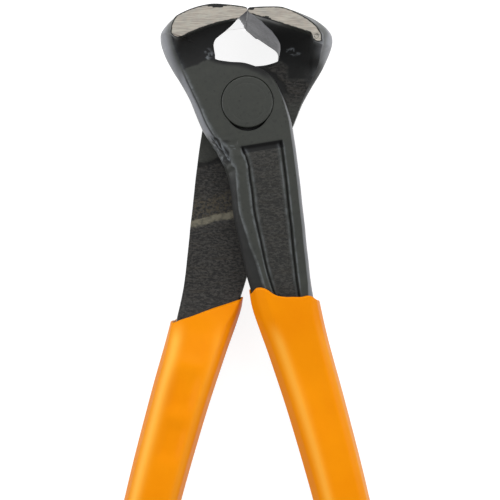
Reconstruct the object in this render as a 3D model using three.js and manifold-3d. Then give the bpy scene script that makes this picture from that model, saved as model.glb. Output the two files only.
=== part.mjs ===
import * as THREE from "three";
import { mergeVertices, toCreasedNormals } from "three/addons/utils/BufferGeometryUtils.js";
import Module from "manifold-3d";

// End-cutting tile nippers, jaws closed, lying flat. Millimetres.
// +Y points to the jaws, +X to the right and +Z is the hinge axis, up out of the front of the tool.
// The parting plane, where the two joint plates meet, is z = 0 while the pieces are shaped.
// The last step moves the tool down so that the origin is the centre of the front rivet head's face.

// Jaw: how far the ground side faces stand from the parting plane, and the two cutting edges
const JAW_FRONT = 12.3;
const JAW_BACK = 11.7;
const EDGE_GAP = 0.05;
const EDGE_LAND = 0.22;
const EDGE_HEIGHT = 20.65;

// Flanks: each side face ends at a slanting line, from which a hollow runs down to the plate. The front line
// bends and turns up at the cheek, and the back one steps down there to a short tongue.
const FRONT_FLANK = { height: 18.63, slope: 0.0665, bend: 0.01457, reach: 7.2, cheek: 15.2, turnUp: 0.37 };
const BACK_FLANK = { height: 19.95, slope: 0.31, footHeight: 15.3, footSlope: 0.86 };
const TONGUE = { from: 14.6, to: 15.6, drop: 1.9 };

// Mouth: its wall is straight in depth as far as row flatTo, and rounded like the other sides from row
// roundFrom. The front lever's wall also slants away from its front edge, most of all half-way down.
const MOUTH = { flatTo: 8, roundFrom: 10, slant: 2.8, slantRows: 8 };

// Joint: plate thickness of each lever, the running gap between the plates and the round of the hub
const PLATE = 7.5;
const PLATE_GAP = 0.05;
const HUB_RADIUS = 8.7;
const RELIEF = 0.35;

// Lap behind the joint: relieved below one slanting line, and a little less so below another
const LAP = { slope: 0.25, reliefFrom: -10.4, reliefTo: -11.6, stepFrom: -25.8, stepTo: -26.6, step: 0.14 };

// Rivet: a solid shank with a wide flat head let into each plate
const SHANK_RADIUS = 4;
const SHANK_CLEARANCE = 0.05;
const HEAD_RADIUS = 6;
const HEAD_CLEARANCE = 0.12;
const HEAD_SUNK = 1.8;
const HEAD_PROUD = 0.35;
const HEAD_ROUND = 0.3;

// Handle: thickness of the tang, and where it swings over from the plate to the middle of the tool.
// Above the crotch the plate loses a little thickness from THINNING_Y on.
const TANG_THICKNESS = 8.2;
const THINNING = 0.9;
const THINNING_Y = -12;
const CROTCH_Y = -42.5;
const TANG_LEVEL_Y = -66;
const TANG_END_ROUND = 4;

// Sunk panel on the outside of each handle
const PANEL_DEPTH = 0.9;
const PANEL_WALL = 0.5;
const PANEL_FROM_CROTCH_EDGE = 4.7;
const PANEL_FROM_BACK_EDGE = 3.1;
const PANEL_CORNER = 1;
const PANEL_END_Y = -52;

// Grips: the dipped coat and its fit, and the overall length that the coated ends reach
const COAT = 1.25;
const GRIP_FIT = 0.3;
const GRIP_END_Y = -157.7;
const GRIP_END_WALL = 2.4;
const GRIP_END_ROUND = 5.5;
const RIM_ROUND = 0.35;
const RIGHT_RIM = { crotchSide: 10.9, backSide: 18.3 };
const LEFT_RIM = { crotchSide: 13.1, backSide: 23.4 };

// Head of the front lever, from its cutting edge to the handle. Each row pairs a point on the outer edge
// (top of the jaw, cheek, waist, crotch side of the handle) with one on the inner edge
// (mouth, top of the plate, hub, back of the handle). The four insets say how far the front and back
// faces stop short of the outer edge, and then of the inner edge, because the forged sides are rounded.
const onHub = (degrees) => {
  const angle = THREE.MathUtils.degToRad(degrees);
  return [HUB_RADIUS * Math.cos(angle), HUB_RADIUS * Math.sin(angle)];
};
const HEAD = [
  {
    outer: [-EDGE_GAP, EDGE_HEIGHT],
    inner: [-EDGE_GAP, EDGE_HEIGHT - EDGE_LAND],
    insets: [0.02, 0.02, 0.02, 0.02],
  },
  { outer: [-0.55, 21.4], inner: [-0.9, 19.65], insets: [0.1, 0.1, 0.08, 0.08] },
  { outer: [-4.2, 22.0], inner: [-3.0, 17.75], insets: [0.2, 0.5, 0.1, 1.0] },
  { outer: [-8.5, 22.3], inner: [-5.2, 15.95], insets: [0.35, 1.0, 0.1, 1.2] },
  { outer: [-13.0, 21.5], inner: [-7.1, 14.5], insets: [0.65, 2.0, 0.1, 0.6] },
  { outer: [-17.3, 19.7], inner: [-7.8, 13.5], insets: [1.0, 3.0, 0.1, 0.3] },
  { outer: [-20.1, 17.3], inner: [-8.0, 12.6], insets: [2.7, 3.7, 0.1, 0.2] },
  { outer: [-20.6, 15.0], inner: [-7.95, 11.9], insets: [3.4, 3.5, 0.15, 0.2] },
  { outer: [-19.6, 11.7], inner: [-7.75, 11.1], insets: [3.0, 2.4, 0.2, 0.2] },
  { outer: [-17.8, 8.1], inner: [-7.15, 10.25], insets: [2.6, 1.2, 0.25, 0.2] },
  { outer: [-15.5, 4.4], inner: [-3.7, 9.8], insets: [1.75, 0.8, 0.3, 0.2] },
  { outer: [-13.6, 0.9], inner: [0.5, 9.3], insets: [1.5, 0.4, 0.4, 0.2] },
  { outer: [-12.2, -2.5], inner: onHub(50), insets: [1.7, 0.25, 0.5, 0.2] },
  { outer: [-10.9, -5.6], inner: onHub(10), insets: [1.7, 0.25, 0.6, 0.2] },
  { outer: [-9.4, -8.3], inner: [10.3, -3.6], insets: [1.85, 0.25, 0.8, 0.2] },
  { outer: [-7.5, -11.3], inner: [11.2, -8.2], insets: [2.5, 0.25, 1.0, 0.2] },
  { outer: [-5.3, -15.5], inner: [11.8, -12.4], insets: [2.0, 0.25, 1.0, 0.2] },
  { outer: [-4.0, -20.5], inner: [12.5, -18.0], insets: [1.6, 0.25, 1.0, 0.2] },
  { outer: [-3.35, -26.0], inner: [13.15, -24.2], insets: [1.6, 0.25, 1.0, 0.2] },
];
const PANEL_TOP_ROW = 15;

// Handle centre line below the head, with the width of the steel across it
const HANDLE = [
  { at: [5.88, -31.0], width: 16.05 },
  { at: [7.08, -38.5], width: 15.2 },
  { at: [8.5, -45.0], width: 14.0 },
  { at: [10.2, -51.0], width: 13.1 },
  { at: [12.4, -58.2], width: 12.3 },
  { at: [16.75, -72.6], width: 11.6 },
  { at: [22.35, -93.4], width: 10.9 },
  { at: [26.4, -112.0], width: 10.7 },
  { at: [29.2, -133.0], width: 10.5 },
  { at: [30.8, GRIP_END_Y], width: 10.3 },
];
const UPPER_INSETS = [2.3, 0.25, 1.0, 0.2];
const LOWER_INSETS = [3.4, 0.25, 1.0, 0.2];
const TANG_INSETS = [3.4, 2.2, 2.0, 2.2];

const wasm = await Module();
wasm.setup();

const clamp = THREE.MathUtils.clamp;
const lerp = THREE.MathUtils.lerp;
const smooth = (value, start, end) => THREE.MathUtils.smoothstep((value - start) / (end - start), 0, 1);

// Handle line as a curve measured in millimetres from its top
const handleLine = new THREE.SplineCurve(HANDLE.map((row) => new THREE.Vector2(...row.at)));
handleLine.arcLengthDivisions = 600;
const handleLength = handleLine.getLength();
const tangLength = handleLength - GRIP_END_WALL;

function handleStation(distance) {
  const t = handleLine.getUtoTmapping(clamp(distance / handleLength, 0, 1));
  const row = Math.min(Math.floor(t * (HANDLE.length - 1)), HANDLE.length - 2);
  const share = t * (HANDLE.length - 1) - row;
  const half = lerp(HANDLE[row].width, HANDLE[row + 1].width, share) / 2;
  const centre = handleLine.getPoint(t);
  const along = handleLine.getTangent(t);
  const across = new THREE.Vector2(-along.y, along.x);
  const widened = smooth(centre.y, HANDLE[0].at[1], HANDLE[1].at[1]);
  const coated = smooth(centre.y, CROTCH_Y, PANEL_END_Y);
  const insets = UPPER_INSETS.map((inset, i) => (
    lerp(lerp(inset, LOWER_INSETS[i], widened), TANG_INSETS[i], coated)));
  return {
    outer: centre.clone().addScaledVector(across, -half),
    inner: centre.clone().addScaledVector(across, half),
    insets,
  };
}

// Edges of the head as two paired curves that run on into the handle
const joinRows = [handleStation(0), handleStation(6)];
const headRows = HEAD.map((row) => ({
  outer: new THREE.Vector2(...row.outer),
  inner: new THREE.Vector2(...row.inner),
  insets: row.insets,
})).concat(joinRows);
const outerEdge = new THREE.SplineCurve(headRows.map((row) => row.outer));
const innerEdge = new THREE.SplineCurve(headRows.map((row) => row.inner));

function headStation(row) {
  const t = row / (headRows.length - 1);
  const low = Math.min(Math.floor(row), headRows.length - 2);
  return {
    outer: outerEdge.getPoint(t),
    inner: innerEdge.getPoint(t),
    insets: headRows[low].insets.map((inset, i) => lerp(inset, headRows[low + 1].insets[i], row - low)),
  };
}

// Height of the front face over the parting plane
const frontLine = (x) => FRONT_FLANK.height + FRONT_FLANK.slope * x - FRONT_FLANK.bend * x ** 2
  + FRONT_FLANK.turnUp * Math.max(0, -x - FRONT_FLANK.cheek) ** 2;
const hollow = (share) => 1 - Math.sqrt(1 - (1 - share) ** 2);

function plateFront(y) {
  const shoulder = lerp(PLATE, PLATE - THINNING, smooth(y, THINNING_Y, CROTCH_Y));
  return lerp(shoulder, TANG_THICKNESS / 2, smooth(y, CROTCH_Y + 2, TANG_LEVEL_Y));
}

function frontHeight(x, y) {
  const drop = frontLine(x) - y;
  if (drop <= 0) return JAW_FRONT;
  if (drop >= FRONT_FLANK.reach) return plateFront(y);
  return PLATE + (JAW_FRONT - PLATE) * hollow(drop / FRONT_FLANK.reach);
}

// Height of the back face: the jaw side, then the hollow down to the lap, then the relieved handle
const backLine = (x) => BACK_FLANK.height + BACK_FLANK.slope * x
  - TONGUE.drop * smooth(-x, TONGUE.from, TONGUE.to);
const backFoot = (x) => BACK_FLANK.footHeight + BACK_FLANK.footSlope * x;

function lapBack(x, y) {
  const slant = y + LAP.slope * x;
  const relieved = smooth(slant, LAP.reliefFrom, LAP.reliefTo);
  const stepped = smooth(slant, LAP.stepFrom, LAP.stepTo);
  const lap = PLATE_GAP + RELIEF * relieved - LAP.step * stepped;
  return lerp(lap, -TANG_THICKNESS / 2, smooth(y, CROTCH_Y, TANG_LEVEL_Y));
}

function backHeight(x, y) {
  const top = backLine(x);
  const foot = backFoot(x);
  if (y >= top) return -JAW_BACK;
  if (y <= foot || foot >= top) return lapBack(x, y);
  return PLATE_GAP - (JAW_BACK + PLATE_GAP) * hollow((top - y) / (top - foot));
}

// How far along a station, from its outer edge, it crosses the end line of a side face
function crossing(station, width, line, low, high) {
  const direction = station.inner.clone().sub(station.outer).divideScalar(width);
  const over = (a) => station.outer.y + direction.y * a - line(station.outer.x + direction.x * a);
  if (over(low) <= 0) return low;
  if (over(high) >= 0) return high;
  let near = low;
  let far = high;
  for (let step = 0; step < 24; step += 1) {
    const middle = (near + far) / 2;
    if (over(middle) > 0) near = middle;
    else far = middle;
  }
  return near;
}

// Where the points of a face lie across a station: three on the side face and six down the hollow
const HOLLOW_SHARES = [0.03, 0.12, 0.28, 0.52, 0.78, 1];

function faceLayout(station, width, line, low, high) {
  const edge = crossing(station, width, line, low, high);
  return [low, (low + edge) / 2, edge, ...HOLLOW_SHARES.map((share) => lerp(edge, high, share))];
}

// The same nine points on a handle: ridge, panel wall, panel floor, panel wall, ridge
function panelLayout(width, low, high, corner) {
  const left = PANEL_FROM_CROTCH_EDGE + corner;
  const right = width - PANEL_FROM_BACK_EDGE;
  const floorLeft = left + PANEL_WALL;
  const floorRight = right - PANEL_WALL;
  const floor = [0, 0.25, 0.5, 0.75, 1].map((share) => lerp(floorLeft, floorRight, share));
  return [low, left, ...floor, right, high];
}

// One closed ring of a lever or of its coat. toPanel runs from 0 on the jaw to 1 on the handle, sunk is the
// share of the panel's depth, corner moves the panel's crotch side in, offset moves the whole ring outwards,
// flat is the share of a straight wall on the inner side, and slant draws that wall's back edge away.
const SIDE_STEPS = 3;
const JAW_ARC = 55;
const HANDLE_ARC = 75;
const MOST_INSET = 0.3;
const MOST_SLANTED = 0.65;

function ring(station, options = {}) {
  const { toPanel = 1, sunk = 0, corner = 0, offset = 0, arc = HANDLE_ARC, flat = 0, slant = 0 } = options;
  const direction = station.inner.clone().sub(station.outer);
  const steel = direction.length();
  direction.divideScalar(steel);
  const [outerFront, outerBack, innerFront, upright] = station.insets.map((inset) => (
    Math.min(inset, MOST_INSET * steel)));
  const innerBack = Math.min(upright + slant, MOST_SLANTED * steel);
  const width = steel + 2 * offset;
  const start = station.outer.clone().addScaledVector(direction, -offset);
  const place = (a) => start.clone().addScaledVector(direction, a);
  const points = [];

  // Front face, from the outer to the inner edge
  const frontJaw = faceLayout(station, steel, frontLine, outerFront, steel - innerFront);
  const frontPanel = panelLayout(steel, outerFront, steel - innerFront, corner);
  const spread = (a) => (a / steel) * width;
  frontJaw.forEach((jaw, i) => {
    const at = place(spread(lerp(jaw, frontPanel[i], toPanel)));
    const dip = i >= 2 && i <= 6 ? sunk * PANEL_DEPTH : 0;
    points.push(new THREE.Vector3(at.x, at.y, frontHeight(at.x, at.y) + offset - dip));
  });
  const backJaw = faceLayout(station, steel, backLine, outerBack, steel - innerBack);
  const back = backJaw.map((a) => {
    const at = place(spread(a));
    return new THREE.Vector3(at.x, at.y, backHeight(at.x, at.y) - offset);
  });

  // Rounded sides, bulging out to the edge at the parting height, or straight from face to face
  const side = (from, to, edge, straight) => {
    const partingZ = lerp(to.z, from.z, 0.45);
    const limit = THREE.MathUtils.degToRad(arc);
    const half = [];
    for (let i = 1; i <= SIDE_STEPS; i += 1) {
      const angle = limit * (1 - i / SIDE_STEPS);
      const lift = Math.sin(angle) / Math.sin(limit);
      const inset = (1 - Math.cos(angle)) / (1 - Math.cos(limit));
      half.push([lift, inset]);
    }
    const upper = half.map(([lift, inset]) => [lerp(edge.x, from.x, inset), lerp(edge.y, from.y, inset),
      lerp(partingZ, from.z, lift)]);
    const lower = half.slice(0, -1).reverse().map(([lift, inset]) => [lerp(edge.x, to.x, inset),
      lerp(edge.y, to.y, inset), lerp(partingZ, to.z, lift)]);
    return [...upper, ...lower].map(([x, y, z]) => {
      const plain = from.clone().lerp(to, (from.z - z) / (from.z - to.z));
      return new THREE.Vector3(x, y, z).lerp(plain, straight);
    });
  };
  points.push(...side(points[8], back[8], place(width), flat));
  points.push(...back.reverse());
  points.push(...side(back[8], points[0], start, 0));
  return points;
}

// A closed body through rings of equal count, with a fan over each end
function loft(rings) {
  const count = rings[0].length;
  const middle = (points) => points.reduce((sum, p) => sum.add(p), new THREE.Vector3()).divideScalar(count);
  const vertices = [...rings.flat(), middle(rings[0]), middle(rings[rings.length - 1])];
  const faces = [];
  rings.slice(1).forEach((_, i) => {
    for (let j = 0; j < count; j += 1) {
      const a = i * count + j;
      const b = i * count + ((j + 1) % count);
      faces.push(a, b, a + count, b, b + count, a + count);
    }
  });
  const last = (rings.length - 1) * count;
  for (let j = 0; j < count; j += 1) {
    const next = (j + 1) % count;
    faces.push(vertices.length - 2, next, j, vertices.length - 1, last + j, last + next);
  }
  const geometry = new THREE.BufferGeometry().setFromPoints(vertices);
  geometry.setIndex(faces);
  return geometry;
}

function toSolid(geometry) {
  const bare = new THREE.BufferGeometry().setAttribute("position", geometry.getAttribute("position"));
  bare.setIndex(geometry.index);
  const merged = mergeVertices(bare, 1e-4);
  const mesh = { numProp: 3, vertProperties: merged.attributes.position.array };
  const solid = new wasm.Manifold(new wasm.Mesh({ ...mesh, triVerts: new Uint32Array(merged.index.array) }));
  if (solid.volume() > 0) return solid;
  const turned = new Uint32Array(merged.index.array).reverse();
  return new wasm.Manifold(new wasm.Mesh({ ...mesh, triVerts: turned }));
}

function toGeometry(solid) {
  const mesh = solid.getMesh();
  const geometry = new THREE.BufferGeometry();
  geometry.setAttribute("position", new THREE.BufferAttribute(mesh.vertProperties, 3));
  geometry.setIndex(new THREE.BufferAttribute(mesh.triVerts, 1));
  return toCreasedNormals(geometry, THREE.MathUtils.degToRad(35));
}

// Turned bodies about the hinge axis
function turned(profile, segments = 56) {
  const geometry = new THREE.LatheGeometry(profile.map(([r, z]) => new THREE.Vector2(r, z)), segments);
  return toSolid(geometry.rotateX(Math.PI / 2));
}

const headFace = PLATE + HEAD_PROUD;
const headSeat = PLATE - HEAD_SUNK;

function leverSolid(slant) {
  const rings = [];
  const jawRows = 10;
  const lastRow = HEAD.length;
  const headStep = (row) => (row < jawRows ? 1 / 3 : row < PANEL_TOP_ROW - 1e-6 ? 1 / 4 : 1 / 2);
  const rowOptions = (row) => ({
    toPanel: smooth(row, jawRows, PANEL_TOP_ROW - 1),
    sunk: row > PANEL_TOP_ROW + 0.05 ? 1 : 0,
    corner: PANEL_CORNER * (1 - smooth(row, PANEL_TOP_ROW, PANEL_TOP_ROW + 2)),
    arc: lerp(JAW_ARC, HANDLE_ARC, smooth(row, jawRows - 3, jawRows)),
    flat: 1 - smooth(row, MOUTH.flatTo, MOUTH.roundFrom),
    slant: slant * Math.sin(Math.PI * clamp(row / MOUTH.slantRows, 0, 1)),
  });
  for (let row = 0; row < lastRow - 1e-6; row += headStep(row)) {
    rings.push(ring(headStation(row), rowOptions(row)));
    if (Math.abs(row - PANEL_TOP_ROW) < 1e-6) {
      rings.push(ring(headStation(row + 0.15), rowOptions(row + 0.15)));
    }
  }
  const steps = 17;
  const straight = tangLength - TANG_END_ROUND;
  for (let i = 0; i <= steps; i += 1) {
    const distance = straight * (i / steps) ** 1.15;
    const station = handleStation(distance);
    const y = (station.outer.y + station.inner.y) / 2;
    rings.push(ring(station, { sunk: 1 - smooth(y, PANEL_END_Y + 2, PANEL_END_Y) }));
  }
  rings.push(...roundedEnd(straight, TANG_END_ROUND, 0));
  const bore = turned([[0, -PLATE * 2], [SHANK_RADIUS + SHANK_CLEARANCE, -PLATE * 2],
    [SHANK_RADIUS + SHANK_CLEARANCE, headSeat - HEAD_CLEARANCE],
    [HEAD_RADIUS + HEAD_CLEARANCE, headSeat - HEAD_CLEARANCE],
    [HEAD_RADIUS + HEAD_CLEARANCE, PLATE * 2], [0, PLATE * 2]]);
  return toSolid(loft(rings)).subtract(bore);
}

// Rings that draw a coated or bare handle in to a rounded end
function roundedEnd(from, reach, offset) {
  const rings = [];
  const steps = 5;
  for (let i = 1; i <= steps; i += 1) {
    const angle = (Math.PI / 2) * (i / steps) * 0.92;
    const points = ring(handleStation(from + reach * Math.sin(angle)), { offset });
    const centre = points.reduce((sum, p) => sum.add(p), new THREE.Vector3()).divideScalar(points.length);
    points.forEach((p) => p.lerpVectors(centre, p.clone(), Math.cos(angle) ** 0.6));
    rings.push(points);
  }
  return rings;
}

// A grip is one skin: down the coat from the rim and back up the fit round the tang
function gripSolid(rim) {
  const share = (points, i) => {
    const span = points[8].x - points[0].x;
    return clamp((points[i].x - points[0].x) / span, 0, 1);
  };
  const layer = (offset, end, steps) => {
    const rings = [];
    for (let i = 0; i <= steps; i += 1) {
      const guide = ring(handleStation(rim.crotchSide), { offset });
      const points = guide.map((_, j) => {
        const start = lerp(rim.crotchSide, rim.backSide, share(guide, j));
        const distance = lerp(start, end, (i / steps) ** 1.2);
        return ring(handleStation(distance), { offset })[j];
      });
      rings.push(points);
    }
    return rings;
  };
  const outside = layer(COAT, handleLength - GRIP_END_ROUND, 15);
  const inside = layer(GRIP_FIT, tangLength - TANG_END_ROUND, 13);
  const rounded = inside[0].map((p, j) => p.clone().lerp(outside[0][j], 1 - RIM_ROUND / COAT));
  outside[0].forEach((p, j) => p.lerp(outside[1][j], 0.12));
  const cavityEnd = roundedEnd(tangLength - TANG_END_ROUND, TANG_END_ROUND + GRIP_FIT, GRIP_FIT).reverse();
  const coatEnd = roundedEnd(handleLength - GRIP_END_ROUND, GRIP_END_ROUND, COAT);
  return toSolid(loft([...cavityEnd, ...inside.reverse(), rounded, ...outside, ...coatEnd]));
}

function rivetSolid() {
  const half = [[SHANK_RADIUS, 0], [SHANK_RADIUS, headSeat], [HEAD_RADIUS, headSeat],
    [HEAD_RADIUS, headFace - HEAD_ROUND], [HEAD_RADIUS - 0.3 * HEAD_ROUND, headFace - 0.3 * HEAD_ROUND],
    [HEAD_RADIUS - HEAD_ROUND, headFace], [0, headFace]];
  const mirrored = half.slice(1).reverse().map(([r, z]) => [r, -z]);
  return turned([...mirrored, ...half.slice(1)]);
}

const paintedSteel = { color: 0x3c3f3b, roughness: 0.45, metalness: 0.6 };
const vinyl = { color: 0xf59410, roughness: 0.3, metalness: 0 };

function piece(name, solid, look) {
  const mesh = new THREE.Mesh(toGeometry(solid), new THREE.MeshStandardMaterial(look));
  mesh.name = name;
  return mesh;
}

// Both levers are of one pattern, but for the slant of the mouth: the rear one is turned over about the
// tool's length
const frontHalf = new THREE.Group();
frontHalf.add(piece("front_lever", leverSolid(MOUTH.slant), paintedSteel));
frontHalf.add(piece("rivet", rivetSolid(), paintedSteel));
frontHalf.add(piece("right_grip", gripSolid(RIGHT_RIM), vinyl));
const rearHalf = new THREE.Group();
rearHalf.rotation.y = Math.PI;
rearHalf.add(piece("rear_lever", leverSolid(0), paintedSteel));
rearHalf.add(piece("left_grip", gripSolid(LEFT_RIM), vinyl));

const nippers = new THREE.Group();
nippers.add(frontHalf, rearHalf);
nippers.position.z = -headFace;

export default nippers;
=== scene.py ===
import math

import bpy
import numpy as np
from bpy.props import FloatProperty, FloatVectorProperty, PointerProperty
from mathutils import Matrix, Vector


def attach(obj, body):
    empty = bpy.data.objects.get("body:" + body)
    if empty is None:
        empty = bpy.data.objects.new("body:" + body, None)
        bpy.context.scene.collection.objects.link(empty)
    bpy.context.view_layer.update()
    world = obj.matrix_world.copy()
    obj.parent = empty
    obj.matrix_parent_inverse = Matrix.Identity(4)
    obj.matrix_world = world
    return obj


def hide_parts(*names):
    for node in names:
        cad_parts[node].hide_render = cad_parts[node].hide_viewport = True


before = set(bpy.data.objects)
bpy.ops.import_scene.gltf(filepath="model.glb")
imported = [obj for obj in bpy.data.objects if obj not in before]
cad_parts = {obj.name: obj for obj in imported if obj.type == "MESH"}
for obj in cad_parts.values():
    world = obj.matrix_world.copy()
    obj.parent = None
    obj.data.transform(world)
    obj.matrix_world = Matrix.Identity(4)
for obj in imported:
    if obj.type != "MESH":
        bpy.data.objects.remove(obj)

bl_info = {
    "name": "Tile nippers",
    "version": (1, 0, 0),
    "blender": (4, 5, 0),
    "location": "3D View > Sidebar > Nippers",
    "description": "End-cutting tile nippers with forged levers, a riveted joint and dipped grips",
    "category": "Add Mesh",
}

# All shapes below are worked out in millimetres over the parting plane of the two joint plates, and become
# metres in the frame's axes when the mesh is made. The head face of the rivet is the frame's origin.
HEAD_FACE = 7.85
JAW_FRONT, JAW_BACK = 12.3, 11.7
PLATE, PLATE_GAP, RELIEF, THINNING = 7.5, 0.05, 0.35, 0.9
TANG_HALF = 4.1
FLANK_HEIGHT, THIN_FROM_Y, LEVEL_BELOW_CROTCH = 7.2, -12, 2
CROTCH_Y, TANG_LEVEL_Y, PANEL_END_Y, GRIP_END_Y = -42.5, -66.0, -52.0, -157.7

# Lap behind the joint: the slanting lines, y + 0.25 x, between which its relief and its small step run
LAP_SLOPE, LAP_RELIEF, LAP_STEP, LAP_STEP_HEIGHT = 0.25, (-10.4, -11.6), (-25.8, -26.6), 0.14

# Lower borders of the jaw's side faces: height and tilt, the front one's bend, where it turns up at the
# cheek and how strongly, and the back one's drop to a tongue and its place. Then the back flank's foot.
FRONT_BORDER, CHEEK_FROM, CHEEK_TURN = (18.63, 0.0665, 0.01457), 15.2, 0.37
BACK_BORDER, TONGUE_DROP, TONGUE_FROM, BACK_FOOT = (19.95, 0.31), 1.9, (14.6, 15.6), (15.3, 0.86)

# Mouth: rows down to which its wall is straight and from which it is rounded, and how far the front lever's
# wall slants away from its front edge
MOUTH_FLAT_TO, MOUTH_ROUND_FROM = 8, 10
MOUTH_SLANT, MOUTH_SLANT_ROWS = 2.8, 8

# Outer and inner edge of the head, row by row, with the insets of the front and back faces from them
HEAD = np.array([
    [-0.012, 20.65, -0.012, 20.43, 0.02, 0.02, 0.02, 0.02],
    [-0.55, 21.4, -0.9, 19.65, 0.1, 0.1, 0.08, 0.08],
    [-4.2, 22.0, -3.0, 17.75, 0.2, 0.5, 0.1, 1.0],
    [-8.5, 22.3, -5.2, 15.95, 0.35, 1.0, 0.1, 1.2],
    [-13.0, 21.5, -7.1, 14.5, 0.65, 2.0, 0.1, 0.6],
    [-17.3, 19.7, -7.65, 13.45, 1.0, 3.0, 0.1, 0.3],
    [-20.1, 17.3, -7.6, 12.5, 2.7, 3.7, 0.1, 0.2],
    [-20.6, 15.0, -7.45, 11.8, 3.4, 3.5, 0.15, 0.2],
    [-19.6, 11.7, -7.25, 11.0, 3.0, 2.4, 0.2, 0.2],
    [-17.8, 8.1, -6.8, 10.2, 2.6, 1.2, 0.6, 0.2],
    [-15.5, 4.4, -3.7, 9.8, 1.75, 0.8, 1.0, 0.2],
    [-13.6, 0.9, 0.5, 9.3, 1.5, 0.4, 0.7, 0.2],
    [-12.2, -2.5, 5.592, 6.665, 1.7, 0.25, 0.5, 0.2],
    [-10.9, -5.6, 8.568, 1.511, 1.7, 0.25, 0.6, 0.2],
    [-9.4, -8.3, 10.3, -3.6, 1.85, 0.25, 0.8, 0.2],
    [-7.5, -11.3, 11.2, -8.2, 2.5, 0.25, 1.0, 0.2],
    [-5.3, -15.5, 11.8, -12.4, 2.0, 0.25, 1.0, 0.2],
    [-4.0, -20.5, 12.5, -18.0, 1.6, 0.25, 1.0, 0.2],
    [-3.35, -26.0, 13.15, -24.2, 1.6, 0.25, 1.0, 0.2],
])
PANEL_TOP_ROW = 15.0

# Centre line of the handle, with the width of the steel across it
HANDLE = np.array([
    [5.88, -31.0, 16.05], [7.08, -38.5, 15.2], [8.5, -45.0, 14.0], [10.2, -51.0, 13.1], [12.4, -58.2, 12.3],
    [16.75, -72.6, 11.6], [22.35, -93.4, 10.9], [26.4, -112.0, 10.7], [29.2, -133.0, 10.5],
    [30.8, GRIP_END_Y, 10.3],
])
HANDLE_INSETS = np.array([[2.3, 0.25, 1.0, 0.2], [3.4, 0.25, 1.0, 0.2], [3.4, 2.2, 2.0, 2.2]])
BACK_CORNER_Y = (-51.0, -62.0)
GRIP_END_WALL, GRIP_END_ROUND, TANG_END_ROUND = 2.4, 5.5, 4.0
COAT, GRIP_FIT = 1.25, 0.3


def smooth(value, start, end):
    """A share from 0 at start to 1 at end, with a level beginning and end: 3 t squared less 2 t cubed."""
    t = np.clip((value - start) / (end - start), 0, 1)
    return t * t * (3 - 2 * t)


def mix(a, b, share):
    """Straight line from a to b."""
    return a + (b - a) * share


def through(rows, place):
    """The smooth curve through the rows, read at fractional row numbers: cubics whose slope at each row is
    half the step between its neighbours."""
    place = np.clip(place, 0, len(rows) - 1)
    at = np.minimum(np.floor(place).astype(int), len(rows) - 2)
    t = (place - at)[:, None]
    before, here, there, after = (rows[np.clip(at + step, 0, len(rows) - 1)] for step in (-1, 0, 1, 2))
    leave, arrive = (there - before) / 2, (after - here) / 2
    return ((2 * here - 2 * there + leave + arrive) * t ** 3
            + (3 * there - 3 * here - 2 * leave - arrive) * t ** 2 + leave * t + here)


# Numbers that mix a lattice corner and a seed into one key of 16 bits, and how far a seed moves the lattice
LATTICE_KEYS, SEED_KEY, MIX_KEY = np.array([73856093, 19349663, 83492791]), 2654435761, 1274126177
LOW_31_BITS, LOW_16_BITS, SEED_MOVE = 0x7FFFFFFF, 0xFFFF, 37.3

# The handle's line as points, and the distance along it from its first to its second station
LINE_POINTS, JOIN_STEP = 601, 6.0
LINE_STEPS = np.linspace(0, len(HANDLE) - 1, LINE_POINTS)
LINE = through(HANDLE[:, :2], LINE_STEPS)
LINE_LENGTHS = np.concatenate([[0], np.cumsum(np.linalg.norm(np.diff(LINE, axis=0), axis=1))])
HANDLE_LENGTH = LINE_LENGTHS[-1]
TANG_LENGTH = HANDLE_LENGTH - GRIP_END_WALL


def handle_stations(distance):
    """Outer and inner edge points, half the steel's width to either side of the handle line, and insets."""
    place = np.interp(np.clip(distance, 0, HANDLE_LENGTH), LINE_LENGTHS, LINE_STEPS)
    centre = through(HANDLE[:, :2], place)
    nearby = 1e-4 * (len(HANDLE) - 1)
    along = through(HANDLE[:, :2], place + nearby) - through(HANDLE[:, :2], place - nearby)
    along /= np.linalg.norm(along, axis=1, keepdims=True)
    across = np.stack([-along[:, 1], along[:, 0]], 1)
    half = np.interp(place, np.arange(len(HANDLE)), HANDLE[:, 2])[:, None] / 2
    widened = smooth(centre[:, 1], HANDLE[0, 1], HANDLE[1, 1])[:, None]
    coated = smooth(centre[:, 1], CROTCH_Y, PANEL_END_Y)[:, None]
    insets = mix(mix(HANDLE_INSETS[0], HANDLE_INSETS[1], widened), HANDLE_INSETS[2], coated)
    insets[:, 3] = mix(HANDLE_INSETS[1, 3], HANDLE_INSETS[2, 3], smooth(centre[:, 1], *BACK_CORNER_Y))
    return centre - across * half, centre + across * half, insets


JOIN = [np.hstack(part) for part in zip(*handle_stations(np.array([0.0, JOIN_STEP])))]
HEAD_ROWS = np.vstack([HEAD, JOIN])


def head_stations(row):
    """Edge points of the head, smoothly through the rows, and insets, in straight steps."""
    edges = through(HEAD_ROWS[:, :4], row)
    number = np.arange(len(HEAD_ROWS))
    insets = np.stack([np.interp(row, number, HEAD_ROWS[:, 4 + i]) for i in range(4)], 1)
    return edges[:, :2], edges[:, 2:], insets


def hollow(share):
    """Drop of a hollow flank: a quarter circle that starts steep at share 0 and ends level at 1."""
    return 1 - np.sqrt(np.clip(1 - (1 - np.clip(share, 0, 1)) ** 2, 0, 1))


def front_line(x):
    """Lower border of the jaw's front side face: a slightly bent line that turns up at the cheek."""
    height, tilt, bend = FRONT_BORDER
    return height + tilt * x - bend * x * x + CHEEK_TURN * np.maximum(0, -x - CHEEK_FROM) ** 2


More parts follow.
